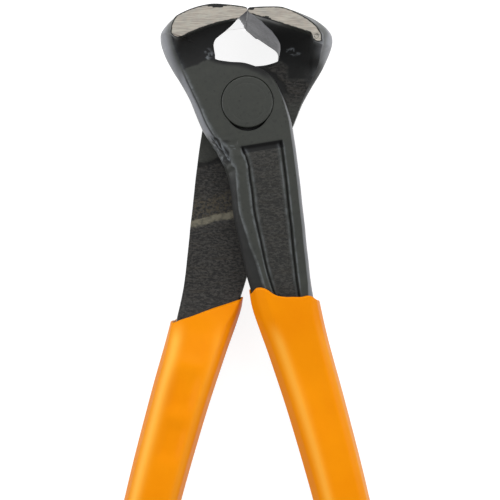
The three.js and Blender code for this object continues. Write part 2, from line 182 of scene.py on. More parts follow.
def front_height(x, y):
    """Front face: level on the jaw, hollow down the flank, level on the plate and sinking to the tang."""
    plate = mix(PLATE, PLATE - THINNING, smooth(y, THIN_FROM_Y, CROTCH_Y))
    plate = mix(plate, TANG_HALF, smooth(y, CROTCH_Y + LEVEL_BELOW_CROTCH, TANG_LEVEL_Y))
    drop = (front_line(x) - y) / FLANK_HEIGHT
    flank = PLATE + (JAW_FRONT - PLATE) * hollow(drop)
    return np.where(drop <= 0, JAW_FRONT, np.where(drop >= 1, plate, flank))


def back_line(x):
    """Lower border of the jaw's back side face: a slanting line that steps down to a tongue at the cheek."""
    height, tilt = BACK_BORDER
    return height + tilt * x - TONGUE_DROP * smooth(-x, *TONGUE_FROM)


def back_height(x, y):
    """Back face: level on the jaw, hollow down to the lap with its two steps, and sinking to the tang."""
    top, foot = back_line(x), BACK_FOOT[0] + BACK_FOOT[1] * x
    slant = y + LAP_SLOPE * x
    lap = PLATE_GAP + RELIEF * smooth(slant, *LAP_RELIEF) - LAP_STEP_HEIGHT * smooth(slant, *LAP_STEP)
    lap = mix(lap, -TANG_HALF, smooth(y, CROTCH_Y, TANG_LEVEL_Y))
    share = (top - y) / np.maximum(top - foot, 1e-6)
    flank = PLATE_GAP - (JAW_BACK + PLATE_GAP) * hollow(share)
    return np.where(y >= top, -JAW_BACK, np.where((y <= foot) | (foot >= top), lap, flank))


def bell(value, width, power=2):
    """1 where the value is 0, falling off as e to the minus power of value over width."""
    return np.exp(-(value / width) ** power)


def window(value, rise, fall):
    """1 between two soft steps, one up and one down, and 0 outside them."""
    return smooth(value, *rise) * (1 - smooth(value, *fall))


def lumps(points, size, seed):
    """Smooth random heights from -1 to 1: a random number at each corner of a cubic lattice of the given
    size, blended smoothly between the corners."""
    cell = points / size + SEED_MOVE * seed
    low = np.floor(cell).astype(np.int64)
    t = smooth(cell - low, 0, 1)
    total = np.zeros(points.shape[:-1])
    for corner in range(8):
        step = np.array([corner & 1, corner >> 1 & 1, corner >> 2 & 1])
        key = (low + step) @ LATTICE_KEYS + seed * SEED_KEY
        key = (key ^ (key >> 13)) * MIX_KEY & LOW_31_BITS
        key = (key ^ (key >> 16)) & LOW_16_BITS
        weight = np.prod(np.where(step, t, 1 - t), axis=-1)
        total += weight * (key / (LOW_16_BITS / 2) - 1)
    return total


# The nine key places of a face: its edge, the end line of the jaw's side face at the third, and the hollow.
# On the handle the same nine are ridge, top of the panel wall, five on the panel floor, wall top and ridge.
SPANS = 8
FLANK_SHARES = np.array([0.03, 0.12, 0.28, 0.52, 0.78, 1.0])
PANEL_FROM_CROTCH_EDGE, PANEL_FROM_BACK_EDGE, PANEL_WALL, PANEL_DEPTH = 4.7, 3.1, 0.5, 0.9
PANEL_CORNER = 1.0
PANEL_KEYS = (0, 1, 1.55, 1.8, 2.35, 5.65, 6.2, 6.45, 7, 8)
PANEL_SHARES = (0, 0, 1.25, 1.25, 1, 1, 1.25, 1.25, 0, 0)
MOST_INSET, MOST_SLANTED = 0.3, 0.65
BEVEL_SHARES, BEVEL_LIFT, BEVEL_INSET = (0, 0.5, 1), (0, 0.77, 1), (0, 0.42, 1)
INNER_LEVEL, OUTER_LEVEL = 0.45, 0.55
JAW_ARC, FULL_ARC = 55, 75
END_ARC, END_POWER = 0.92, 0.6
CREASE = 38

# Columns of a lever's rings, which are its front face, inner side, back face and outer side, how even their
# places in a span are, and how often a border's place is halved
SPAN_STEPS, SIDE_STEPS, EVEN_PART, COSINE_PART = 7, 9, 0.45, 0.55
FACE_POINTS = SPANS * SPAN_STEPS + 1
INNER_BACK = FACE_POINTS + 2 * SIDE_STEPS - 1
OUTER_FROM, AROUND, HALVINGS = INNER_BACK + FACE_POINTS, 2 * INNER_BACK, 24


def spaced(spans, steps):
    """Places 0 to spans, each span cut in steps that are finer towards its two ends: part even, part
    cosine."""
    even = np.arange(steps) / steps
    share = EVEN_PART * even + COSINE_PART * (1 - np.cos(math.pi * even)) / 2
    return np.append((np.arange(spans)[:, None] + share).ravel(), spans)


def border_place(start, direction, line, low, high):
    """Distance from start at which each station crosses a slanting line, found by halving."""
    def over(a):
        return start[:, 1] + direction[:, 1] * a - line(start[:, 0] + direction[:, 0] * a)

    near, far = low.copy(), high.copy()
    for _ in range(HALVINGS):
        middle = (near + far) / 2
        above = over(middle) > 0
        near, far = np.where(above, middle, near), np.where(above, far, middle)
    return np.where(over(low) <= 0, low, np.where(over(high) >= 0, high, near))


def read_keys(keys, place):
    """Straight lines through nine key values of every station, read at the same places along all of them."""
    at = np.minimum(place.astype(int), keys.shape[1] - 2)
    return mix(keys[:, at], keys[:, at + 1], place - at)


def jaw_keys(start, direction, line, low, high):
    """Key places on a jaw: face edge, half way, end line of the side face, and six down the flank."""
    edge = border_place(start, direction, line, low, high)[:, None]
    low, high = low[:, None], high[:, None]
    return np.hstack([low, (low + edge) / 2, edge, mix(edge, high, FLANK_SHARES)])


def panel_keys(width, low, high, corner):
    """Key places on a handle: ridge, wall, floor, wall and ridge."""
    left, right = PANEL_FROM_CROTCH_EDGE + corner, width - PANEL_FROM_BACK_EDGE
    floor = [mix(left + PANEL_WALL, right - PANEL_WALL, share) for share in (0, 0.25, 0.5, 0.75, 1)]
    return np.stack([low, left, *floor, right, high], 1)


def side_walls(upper, lower, edge, arc, level, straight, bevel):
    """Rounded side between two ridges: two arcs that meet upright at the edge point, at a share, level, of
    the height. bevel is the share of two flats in place of each arc, and straight that of a plain wall."""
    share = 1 - np.arange(1, SIDE_STEPS + 1) / SIDE_STEPS
    angle = arc[:, None] * share
    lift = np.sin(angle) / np.sin(arc)[:, None]
    inset = (1 - np.cos(angle)) / (1 - np.cos(arc))[:, None]
    lift = mix(lift, np.interp(share, BEVEL_SHARES, BEVEL_LIFT), bevel)
    inset = mix(inset, np.interp(share, BEVEL_SHARES, BEVEL_INSET), bevel)
    parting = mix(lower[:, 2], upper[:, 2], level)[:, None]

    def half(end, lift, inset):
        flat = mix(edge[:, None, :], end[:, None, :2], inset[..., None])
        return np.concatenate([flat, mix(parting, end[:, 2:], lift)[..., None]], 2)
    wall = np.concatenate([half(upper, lift, inset), half(lower, lift, inset)[:, -2::-1]], 1)
    down = (upper[:, None, 2] - wall[..., 2]) / (upper[:, None, 2] - lower[:, None, 2])
    plain = mix(upper[:, None, :], lower[:, None, :], down[..., None])
    return mix(wall, plain, straight[:, None, None])


def section(stations, offset=0.0, to_panel=1.0, sunk=0.0, arc=np.radians(FULL_ARC), corner=0.0, flat=0.0,
            slant=0.0, bevel=0.0):
    """Closed rings across a lever or its coat, one to a station: the front face from the outer to the inner
    edge, the inner side, the back face and the outer side. offset moves a whole ring outwards, to_panel
    turns the jaw's key places into the handle's, sunk is the share of the panel's depth, corner moves the
    panel's crotch side in, flat is the share of a straight inner side, slant draws its back edge away, and
    bevel makes the sides of flats. All but the offset and the bevel may differ from station to station."""
    outer, inner, insets = stations
    to_panel, sunk, arc, corner, flat, slant, none = (
        np.broadcast_to(value, len(outer)) for value in (to_panel, sunk, arc, corner, flat, slant, 0.0))
    direction = inner - outer
    steel = np.linalg.norm(direction, axis=1)
    direction = direction / steel[:, None]
    insets = np.minimum(insets, MOST_INSET * steel[:, None])
    inner_back = np.minimum(insets[:, 3] + slant, MOST_SLANTED * steel)
    width = steel + 2 * offset
    start = outer - direction * offset
    along = spaced(SPANS, SPAN_STEPS)
    spread = (width / steel)[:, None]

    def place(a):
        return start[:, None, :] + direction[:, None, :] * a[..., None]

    def face(keys, height, lift):
        flat_place = place(read_keys(keys, along) * spread)
        z = height(flat_place[..., 0], flat_place[..., 1]) + lift
        return np.concatenate([flat_place, z[..., None]], 2)

    low, high = insets[:, 0], steel - insets[:, 2]
    keys = mix(jaw_keys(outer, direction, front_line, low, high), panel_keys(steel, low, high, corner),
               to_panel[:, None])
    dip = sunk[:, None] * np.interp(along, PANEL_KEYS, PANEL_SHARES) * PANEL_DEPTH
    front = face(keys, front_height, offset - dip)
    keys = jaw_keys(outer, direction, back_line, insets[:, 1], steel - inner_back)
    back = face(keys, back_height, -offset)
    inner_edge = place(width[:, None])[:, 0]
    inner_side = side_walls(front[:, -1], back[:, -1], inner_edge, arc, INNER_LEVEL, flat, bevel)
    outer_side = side_walls(front[:, 0], back[:, 0], start, arc, OUTER_LEVEL, none, bevel)[:, ::-1]
    return np.concatenate([front, inner_side, back[:, ::-1], outer_side], 1)


def rounded_end(from_distance, reach, offset, steps, bevel=0.0):
    """Rings that draw a handle in to a round end: each moves on by a sine and shrinks with a cosine."""
    angle = math.pi / 2 * END_ARC * np.arange(1, steps + 1) / steps
    rings = section(handle_stations(from_distance + reach * np.sin(angle)), offset, bevel=bevel)
    return mix(rings.mean(1, keepdims=True), rings, (np.cos(angle) ** END_POWER)[:, None, None])


def skin(name, rings, marks, turned_over, crease=CREASE):
    """A closed mesh through equal rings, with a fan over each end, as one piece in metres at the frame's
    place. turned_over gives it half a turn about the tool's length. marks are values kept on its points."""
    count, around = rings.shape[:2]
    points = np.vstack([rings.reshape(-1, 3), rings[0].mean(0), rings[-1].mean(0)])
    marks = {key: np.append(value, [value[0].mean(), value[-1].mean()]) for key, value in marks.items()}
    if turned_over:
        points = points * [-1, 1, -1]
    j, following = np.arange(around), (np.arange(around) + 1) % around
    ring = np.arange(count - 1)[:, None] * around
    walls = np.stack([ring + j, ring + following, ring + around + following, ring + around + j], -1)
    last = (count - 1) * around
    first_fan = np.stack([np.full(around, count * around), following, j], 1)
    last_fan = np.stack([np.full(around, count * around + 1), last + j, last + following], 1)
    return finished(name, points, [walls.reshape(-1, 4), np.vstack([first_fan, last_fan])], marks, crease)


def finished(name, points, faces, marks, crease):
    """A piece from points and faces: its faces turned outward, and smooth except at creases."""
    points = (points - [0, 0, HEAD_FACE]) * 0.001
    corners = np.concatenate([part.ravel() for part in faces])
    sizes = np.concatenate([np.full(len(part), part.shape[1]) for part in faces])
    mesh = bpy.data.meshes.new(name)
    mesh.vertices.add(len(points))
    mesh.vertices.foreach_set("co", points.astype(np.float32).ravel())
    mesh.loops.add(len(corners))
    mesh.loops.foreach_set("vertex_index", corners.astype(np.int32))
    mesh.polygons.add(len(sizes))
    mesh.polygons.foreach_set("loop_start", np.concatenate([[0], np.cumsum(sizes)[:-1]]).astype(np.int32))
    mesh.update(calc_edges=True)
    if volume(points, faces) < 0:
        mesh.flip_normals()
    for key, values in marks.items():
        mesh.attributes.new(key, "FLOAT", "POINT").data.foreach_set("value", values.astype(np.float32))
    mesh.polygons.foreach_set("use_smooth", np.ones(len(mesh.polygons), bool))
    mesh.set_sharp_from_angle(angle=math.radians(crease))
    mesh.validate()
    made = bpy.data.objects.new(name, mesh)
    bpy.context.scene.collection.objects.link(made)
    return made


def volume(points, faces):
    """Six times the signed volume: the sum of the triple products of each face's triangles."""
    total = 0.0
    for part in faces:
        for k in range(1, part.shape[1] - 1):
            a, b, c = points[part[:, 0]], points[part[:, k]], points[part[:, k + 1]]
            total += np.einsum("ij,ij->", a, np.cross(b, c))
    return total


# The columns of each face and side, and the place of each column across the front face, from 0 at the crotch
# side's ridge to 8 at the back's, with a far number off that face
COLUMN = np.arange(AROUND)
FRONT, INNER = COLUMN < FACE_POINTS, (COLUMN >= FACE_POINTS) & (COLUMN < INNER_BACK)
BACK, OUTER = (COLUMN >= INNER_BACK) & (COLUMN < OUTER_FROM), COLUMN >= OUTER_FROM
KEY = np.append(spaced(SPANS, SPAN_STEPS), np.full(AROUND - FACE_POINTS, 20.0))

# Black spots on the ground side faces, worn bare patches at the mouth's corners and a smudge on the plate:
# centre and half sizes, in the lever's own millimetres. Then how wide the black painted shade fades out along
# the mouth's rim, the rows over which the grey painted reflection of the outer side ends, how black the
# painted shade on that side is below the jaw, and the seed of each forging's random lumps
BLACK_SPOTS = {"front_lever": [((-7.1, 22.2), (3.3, 1.35))],
               "rear_lever": [((-4.15, 18.55), (1.45, 0.9)), ((-0.9, 21.0), (0.75, 0.45))]}
WORN_SPOTS = {"front_lever": [((-9.0, 11.2), (1.0, 1.3)), ((-3.96, -11.1), (0.45, 0.8))],
              "rear_lever": [((-10.3, 12.8), (1.0, 0.8)), ((-11.6, 12.1), (1.0, 0.45))]}
SMUDGES = {"front_lever": [((-5.3, -9.4), (0.7, 0.6))], "rear_lever": []}
RIM_FADE = {"front_lever": (0.7, 2.3), "rear_lever": (0.3, 0.6)}
SHEEN_SIDE_ROWS = {"front_lever": (13.5, 14.5), "rear_lever": (7.0, 9.5)}
SHADE = {"front_lever": 0.0, "rear_lever": 0.85}
SEEDS = {"front_lever": 3, "rear_lever": 7}

# Rows over which a mark comes in and over which it goes out
SHADE_ROWS = (8.3, 8.9), (10.5, 12.0)
SHEEN_ROWS = [(1.0, (5.8, 6.6), (7.8, 8.9)), (0.7, (8.4, 9.2), (9.4, 10.2))]
PLATE_ROWS, RIM_ROWS = ((9.0, 10.0), (14.2, 14.8)), ((7.6, 8.2), (11.8, 12.5))
FLASH_ROWS, CREVICE_ROWS = ((13.7, 14.5), (16.0, 17.2)), ((13.9, 14.2), (15.6, 16.0))
MOUTH_END, CROTCH_ROWS, RIDGE_ROWS, INNER_ROWS = (7.8, 9.0), (15.5, 17), (11, 13), (12, 13.5)
GROUND_END, FLANK_END = 9.5, 11

# The slant of the side faces' lower borders as a cosine, the drop below them and the levels at which the
# black painted shade of the flank begins and ends, where it goes on over the cheek, the lowest level of the
# lap, and the panel's walls, lips, feet and floor
FRONT_SLANT, BACK_SLANT = 0.93, 0.95
FLANK_TOP, FLANK_FOOT, FLANK_LEVELS = (0, 0.3), (6.8, 7.15), (0.1, 0.5)
CHEEK_X, CHEEK_Y, LAP_LOWEST = (9.2, 10.2), (5.9, 6.8), -1.2
WALL_ROWS, WALL_KEYS = (0.01, 0.43), (0.95, 7.05)
WALL_LIPS, WALL_FEET, FLOOR_KEYS = (0.95, 2.25, 5.75, 7.05), (1.65, 6.35), ((2.3, 2.5), (5.5, 5.7))

# The left jaw's wall is polished where x is under a number plus a share of the height. Hub: height of its
# centre and radius. The last three are the punch mark, the round end of the right ground face and the
# mouth's corner.
POLISH_FROM = (-1.2, -0.077)
HUB, HUB_STRIP = (-0.6, 9.15), 1.5
PUNCH_AT, PUNCH_RADIUS, PUNCH_DEPTH = (-15.95, 14.7), 0.5, 0.3
FACE_END_AT, FACE_END_RADIUS = (-16.4, 14.75), 1.45
MOUTH_CORNER_ROW, MOUTH_RISE, MOUTH_RISE_ROWS = 9.0, 0.5, 0.65

# Forged skin: sizes of its lumps, its share of the depth on the sides and on the faces, and the rows up to
# which it is full everywhere
SKIN_LUMPS, SKIN_SHARES, SKIN_ROWS = (5.5, 1.6), (0.6, 0.3), (9, 11)

# The rivet's bore and the sink of its head: radius and height. The sink is cut a little off centre.
SEAT, SINK_FLOOR, BEYOND = PLATE - 1.92, PLATE - 1.5, 16
BORE = [(0.01, -BEYOND), (4.05, -BEYOND), (4.05, SEAT), (6.12, SEAT), (6.12, PLATE - 0.1),
        (6.3, PLATE + 0.12), (6.3, BEYOND), (0.01, BEYOND)]
SINK = [(0.01, SINK_FLOOR), (5.1, SINK_FLOOR), (5.16, PLATE - 0.1), (5.3, PLATE + 0.12), (5.3, BEYOND),
        (0.01, BEYOND)]
SINK_CENTRE, TURNED_SEGMENTS = (0.05, -1.6), 144
# The reach of the plain marks round the bore, and the level below which its sink is painted black as shade
ROUND_BORE, SHADE_BELOW = 7.0, PLATE - 0.3

# The rivet: shank, seat of its heads, their rim, their crown and the turned ring in it, and radii of its rows
SHANK, HEAD_SEAT, HEAD_RADIUS, RIM_ROUND, RIM_DROP = 4.0, PLATE - 1.8, 6.0, 0.3, 0.35
CROWN, CROWN_RADIUS, RING_RADIUS, RING_DEPTH, RING_WIDTH = 0.05, 5.6, 4.45, 0.025, 0.05
FACE_RADII = (5.5, 5.2, 4.9, 4.6, 4.52, 4.45, 4.38, 4.3, 3.6, 2.8, 2.0, 1.2, 0.5, 0.02)

# Points round a grip and rows along its sheets, coat, lining, lip and ends. Then where its sheets start, the
# row that guides its rim, how its rows crowd to the rim, the heights over which the painted highlight bands
# come in, the rounding of the lining, the crease angle, the handle's direction, and which way, how far down
# and over what share of the width the rim draws in
GRIP_AROUND, SHEET_ROWS, COAT_ROWS, LINING_ROWS, LIP_ROWS, END_ROWS = 150, 500, 260, 24, 9, 12
SHEET_FROM, GUIDE_ROW, COAT_POWER, HIGHLIGHT_Y = 8, 20, 1.15, (-50.5, -57.0)
LINING_ROUND, GRIP_CREASE, HANDLE_AXIS = 0.15, 60, np.array([0.27, -0.963])
RIM_INWARD, RIM_INWARD_OVER, RIM_INWARD_SHARES = np.array([1.0, -0.15, 0.0]), 2.5, (0.0, 0.3)


# Rings of a lever: numbers on the tip, the jaw, the plate and the handle down to the last row of the head,
# the first row of the plate, steps down the panel's upper wall, and two stretches of the tang, from, to and
# number, of which the last ends where the tang's round end begins
TIP_RINGS, JAW_RINGS, PLATE_RINGS, NECK_RINGS, END_RINGS, PLATE_ROW = 7, 118, 62, 52, 6, 10
PANEL_TOP_STEPS, NECK_ROWS = (0.05, 0.1, 0.15, 0.2, 0.26), (PANEL_TOP_ROW + 0.33, len(HEAD) - 0.05)
TANG_END = TANG_LENGTH - TANG_END_ROUND
TANG_STRETCHES, LAST_ROW = ((0, 26, 74), (27.5, TANG_END, 22)), 50.0

# Rows over which the jaw turns into the handle and its sides reach their full arc, over which the panel
# sinks and its corner straightens, and the length over which it ends
TO_PANEL_ROWS, ARC_ROWS = (PLATE_ROW, 14), (7, PLATE_ROW)
PANEL_SINK_ROWS, CORNER_ROWS, PANEL_RISE = 0.24, 2, 2


def head_rows():
    """Row numbers of the head's stations: close together on the jaw, the plate and the panel's upper wall."""
    return np.concatenate([np.linspace(0, 1, TIP_RINGS)[:-1], np.linspace(1, PLATE_ROW, JAW_RINGS)[:-1],
                           np.linspace(PLATE_ROW, PANEL_TOP_ROW, PLATE_RINGS),
                           PANEL_TOP_ROW + np.array(PANEL_TOP_STEPS), np.linspace(*NECK_ROWS, NECK_RINGS)])


def lever_rings(mouth_slant, mouth_rise):
    """The rings of one lever from its cutting edge to the end of its tang, with the row number of each.
    mouth_slant is for its mouth's wall, and mouth_rise lifts the mouth's lower corner."""
    rows = head_rows()
    stations = head_stations(rows)
    stations[1][:, 1] += mouth_rise * bell(rows - MOUTH_CORNER_ROW, MOUTH_RISE_ROWS)
    head = section(stations, to_panel=smooth(rows, *TO_PANEL_ROWS),
                   sunk=smooth(rows, PANEL_TOP_ROW, PANEL_TOP_ROW + PANEL_SINK_ROWS),
                   arc=np.radians(mix(JAW_ARC, FULL_ARC, smooth(rows, *ARC_ROWS))),
                   corner=PANEL_CORNER * (1 - smooth(rows, PANEL_TOP_ROW, PANEL_TOP_ROW + CORNER_ROWS)),
                   flat=1 - smooth(rows, MOUTH_FLAT_TO, MOUTH_ROUND_FROM),
                   slant=mouth_slant * np.sin(math.pi * np.clip(rows / MOUTH_SLANT_ROWS, 0, 1)))
    distance = np.concatenate([np.linspace(*stretch) for stretch in TANG_STRETCHES])
    stations = handle_stations(distance)
    y = (stations[0][:, 1] + stations[1][:, 1]) / 2
    handle = section(stations, sunk=1 - smooth(y, PANEL_END_Y + PANEL_RISE, PANEL_END_Y))
    end = rounded_end(TANG_END, TANG_END_ROUND, 0.0, END_RINGS)
    number = np.concatenate([rows, len(HEAD) + distance / JOIN_STEP, np.full(len(end), LAST_ROW)])
    return np.concatenate([head, handle, end]), number[:, None]


def outward(rings):
    """Direction that each point of the rings faces, from the steps to its neighbours."""
    normal = np.cross(np.roll(rings, -1, 1) - np.roll(rings, 1, 1), np.gradient(rings, axis=0))
    normal /= np.maximum(np.linalg.norm(normal, axis=2, keepdims=True), 1e-9)
    return normal * np.sign(np.einsum("ijk,ijk->", normal, rings - rings.mean(1, keepdims=True)))


def spot(points, at, half_size):
    """1 inside an upright ellipse and 0 outside, over an edge as wide as a fifth of it."""
    return 1 - smooth(np.linalg.norm((points[..., :2] - at) / half_size, axis=-1), 0.85, 1.15)


def from_column(rings, column):
    """Distance of each point, seen from above, from one point of its own ring."""
    return np.linalg.norm((rings - rings[:, column:column + 1])[..., :2], axis=-1)


def lever_marks(name, rings, row):
    """Values kept on a lever's points. ground: distance inside the bright side face of a jaw. mouth: 1 on
    the bare inner side of the jaw. lap: 1 on the flat that meets the other lever, and on the panel's scaly
    floor. slant: place down the lap, in millimetres. ridge: 1 along the ridges, lighter by wear and by
    painted
    highlight. flank: 1 where black painted shade goes: the hollow under the jaw's side face, the panel's
    corners, the crotch side of the handle and the mouth's rim. side: 1 where grey painted reflection goes, on
    the head's outer side."""
    x, y = rings[..., 0], rings[..., 1]
    from_ridge, from_back_ridge = from_column(rings, 0), from_column(rings, OUTER_FROM - 1)
    inside = np.where(FRONT, np.minimum(from_ridge, (y - front_line(x)) * FRONT_SLANT),
                      np.minimum(from_back_ridge, (y - back_line(x)) * BACK_SLANT))
    level, drop, head = back_height(x, y), front_line(x) - y, row < FLANK_END
    on_plate = window(row, *PLATE_ROWS)

    # Black painted shade: the hollow flanks, the panel's corners, the crotch side, the mouth's rim, the shade
    # of a groove beside the plate, and a shaded stretch of the rear lever's outer side
    ragged = drop + 0.35 * lumps(rings, 0.8, 5)
    front_flank = FRONT * head * smooth(drop, *FLANK_TOP) * (1 - smooth(ragged, *FLANK_FOOT))
    back_flank = BACK * head * smooth(back_line(x) - y, *FLANK_TOP) * np.maximum(
        smooth(-level, *FLANK_LEVELS), smooth(-x, *CHEEK_X) * smooth(y, *CHEEK_Y))
    in_panel = smooth(row, PANEL_TOP_ROW + 0.05, PANEL_TOP_ROW + 0.3)
    upper_wall = ((row > PANEL_TOP_ROW + WALL_ROWS[0]) & (row < PANEL_TOP_ROW + WALL_ROWS[1])
                  & (KEY > WALL_KEYS[0]) & (KEY < WALL_KEYS[1]))
    foot = np.minimum.reduce([np.abs(KEY - k) for k in WALL_FEET])
    corners = np.maximum((1 - smooth(foot, 0.15, 0.34)) * in_panel, upper_wall)
    rims = np.minimum(from_column(rings, FACE_POINTS - 1), from_column(rings, INNER_BACK))
    at_rim = np.maximum(1 - smooth(rims, *RIM_FADE[name]), INNER) * window(row, *RIM_ROWS)
    # A groove's painted shade beside the plate's ridge, in black
    groove_shade = 0.8 * bell(from_ridge - 0.3, 0.15) * OUTER * on_plate
    shaded = SHADE[name] * OUTER * window(row, *SHADE_ROWS)
    black = np.maximum.reduce([front_flank, back_flank, corners, at_rim, groove_shade,
                               0.9 * OUTER * smooth(row, *CROTCH_ROWS), shaded])

    # Ridges lighter by wear and by painted highlight: the panel's lips, the crotch side's ridge, the jaw's
    # edge and the edge of the plate
    lip = np.minimum.reduce([np.abs(KEY - k) for k in WALL_LIPS])
    ridge = np.maximum.reduce([0.9 * (1 - smooth(lip, 0.06, 0.2)) * in_panel,
                               bell(KEY, 0.12) * smooth(row, *RIDGE_ROWS),
                               0.7 * bell(from_ridge, 0.3, 1) * FRONT * head,
                               1.4 * bell(from_ridge, 0.4) * FRONT * on_plate])

    # Grey painted reflection on the head's outer side: a soft upper edge on the jaw, a band of two tones
    # beside the plate, the front half of the handle's inner side, and a painted sheen on the hollow cheek
    band = smooth(from_ridge, 0.4, 0.7) * mix(1.0, 0.55, smooth(from_ridge, 1.2, 1.7))
    side_sheen = OUTER * (1 - smooth(row, *SHEEN_SIDE_ROWS[name])) * np.interp(row, [7.5, 9.0, 10.5], [1.0, 0.75, 1.0])
    sheen = bell(from_back_ridge, 1.5, 1) * BACK * sum(w * window(row, *rows) for w, *rows in SHEEN_ROWS)
    side = np.maximum.reduce([side_sheen * mix(smooth(from_ridge, 0.2, 2.2), band, on_plate),
                              0.45 * INNER * (rings[..., 2] > 0) * smooth(row, *INNER_ROWS), 0.65 * sheen])
    floor = 0.8 * in_panel * window(KEY, *FLOOR_KEYS) * ~upper_wall
    return {"ground": np.where((FRONT | BACK) & (row < GROUND_END), inside, -1.0),
            "mouth": (INNER | (COLUMN == INNER_BACK)) * (1 - smooth(row, *MOUTH_END)),
            "lap": np.maximum(BACK & (level > LAP_LOWEST), floor), "ridge": ridge,
            "slant": np.where(BACK, y + LAP_SLOPE * x, 50.0), "side": side, "torn": 0 * x,
            "flank": black * (1 - 0.9 * sheen)}


def forge_skin(rings, marks, row, steel, seed):
    """Sinks the painted surface unevenly, as a hammer-forged skin has it: two sizes of random lumps, never
    outwards, none on the ground side faces, and least on the machined plate."""
    bare = smooth(marks["ground"], -0.3, 0.1)
    coarse, fine = (lumps(rings, size, seed + i) * 0.5 + 0.5 for i, size in enumerate(SKIN_LUMPS))
    share = np.maximum(np.where(INNER | OUTER, *SKIN_SHARES), 1 - smooth(row, *SKIN_ROWS))
    depth = steel.skin_depth * (0.6 * coarse + 0.4 * fine) * share * (1 - bare)
    return rings - outward(rings) * depth[..., None]


def worn_patch(rings, at, half_size, seed):
    """A ragged patch of bare steel: an ellipse times fine random specks."""
    specks = smooth(lumps(rings, 0.35, seed + 9) + 0.5 * lumps(rings, 0.8, seed + 11), -0.1, 0.35)
    return spot(rings, at, half_size) * specks * 1.5


def hub_shadow(rings, seed):
    """Share of black painted shadow of the other lever's hub, in the torn strip beside it: part of a ring
    with a ragged edge.
    """
    x, y = -rings[..., 0], rings[..., 1]
    from_hub = np.hypot(x, y - HUB[0]) - HUB[1]
    ragged = HUB_STRIP * (1 + 0.35 * lumps(rings, 0.9, seed + 2))
    ends = smooth(y, 1.5, 3.5) * smooth(x, 1.0, 2.5) * (rings[..., 2] < 2)
    return (1 - smooth(from_hub, ragged - 0.12, ragged + 0.12)) * ends


def punch_mark(rings, marks):
    """A small round punch mark in the ground side face: a bell-shaped hollow with a black ring."""
    away = np.hypot(rings[..., 0] - PUNCH_AT[0], rings[..., 1] - PUNCH_AT[1])
    sunk = rings.copy()
    sunk[..., 2] += np.where(rings[..., 2] < 0, PUNCH_DEPTH * bell(away, PUNCH_RADIUS, 4), 0)
    ring = bell(away - PUNCH_RADIUS, 0.14)
    marks["ground"] = np.minimum(marks["ground"], mix(9, 0.15, smooth(ring, 0.3, 0.6)))
    return sunk


def flash_burr(rings, marks, row, steel, seed):
    """The torn flash on the crotch side below the plate: a ragged, random depth, with black painted shade
    where it is deep, and lighter lips beside it by wear and by painted highlight.
    """
    near = bell(np.minimum(COLUMN, AROUND - COLUMN), 11.0)
    torn = lumps(rings * [1, 1, 0.5], 0.75, seed) * 0.6 + lumps(rings, 1.9, seed + 5) * 0.7
    torn = np.clip(0.35 + torn, 0, 1.3) * near * window(row, *FLASH_ROWS)
    from_ridge = np.where(COLUMN > OUTER_FROM, AROUND - COLUMN, 99)
    ragged = 5.0 + 2.5 * lumps(rings, 0.6, seed + 3)
    stretch = window(row, *CREVICE_ROWS)
    # Black painted shade in the flash's crevices
    crevice_shade = (1 - smooth(from_ridge, ragged - 1, ragged + 1)) * stretch
    # Lips beside the crevices, lighter by wear and by painted highlight
    lip = bell(from_ridge - ragged - 2, 1.2) * stretch
    marks["flank"] = np.maximum(marks["flank"] * (1 - lip), crevice_shade)
    marks["torn"] = near * stretch * (COLUMN > OUTER_FROM)
    marks["ridge"] = np.maximum(marks["ridge"] * (1 - crevice_shade), lip * 1.5)
    inward = rings.mean(1, keepdims=True) - rings
    inward[..., 2] *= 0.3
    inward /= np.maximum(np.linalg.norm(inward, axis=2, keepdims=True), 1e-6)
    return rings + inward * (steel.burr_depth * torn)[..., None]


def turned_body(profile, centre=(0.0, 0.0)):
    """Rings of a body turned about the hinge axis: each profile row is a radius and a height."""
    angle = np.linspace(0, 2 * math.pi, TURNED_SEGMENTS, endpoint=False)
    circle = np.stack([np.cos(angle), np.sin(angle)], 1)
    radius, height = np.array(profile, float).T
    flat = circle[None] * radius[:, None, None] + np.array(centre)
    return np.concatenate([flat, np.broadcast_to(height[:, None, None], flat.shape[:2] + (1,))], 2)


def cut(piece, cutter):
    """Takes the cutter's space out of the piece and removes the cutter."""
    modifier = piece.modifiers.new("bore", "BOOLEAN")
    modifier.object, modifier.operation, modifier.solver = cutter, "DIFFERENCE", "EXACT"
    bpy.context.view_layer.update()
    made = bpy.data.meshes.new_from_object(piece.evaluated_get(bpy.context.evaluated_depsgraph_get()))
    piece.modifiers.clear()
    old, piece.data = piece.data, made
    bpy.data.meshes.remove(old)
    bpy.data.meshes.remove(cutter.data)
    piece.data.name = piece.name
    piece.data.set_sharp_from_angle(angle=math.radians(CREASE))


def sink_paint_and_shade(lever, keys, turned_over):
    """Sets the marks round the bore to plain paint, and to black painted shade below the level of the plate.
    """
    mesh = lever.data
    points = np.empty(len(mesh.vertices) * 3, np.float32)
    mesh.vertices.foreach_get("co", points)
    points = points.reshape(-1, 3) * 1000 + (0, 0, HEAD_FACE)
    near = np.hypot(points[:, 0], points[:, 1]) < ROUND_BORE
    low = points[:, 2] * (-1 if turned_over else 1) < SHADE_BELOW
    for key in keys:
        values = np.empty(len(near), np.float32)
        mesh.attributes[key].data.foreach_get("value", values)
        plain = {"ground": -1.0, "flank": np.where(low, 1.0, 0.0)}.get(key, 0.0)
        mesh.attributes[key].data.foreach_set("value", np.where(near, plain, values).astype(np.float32))


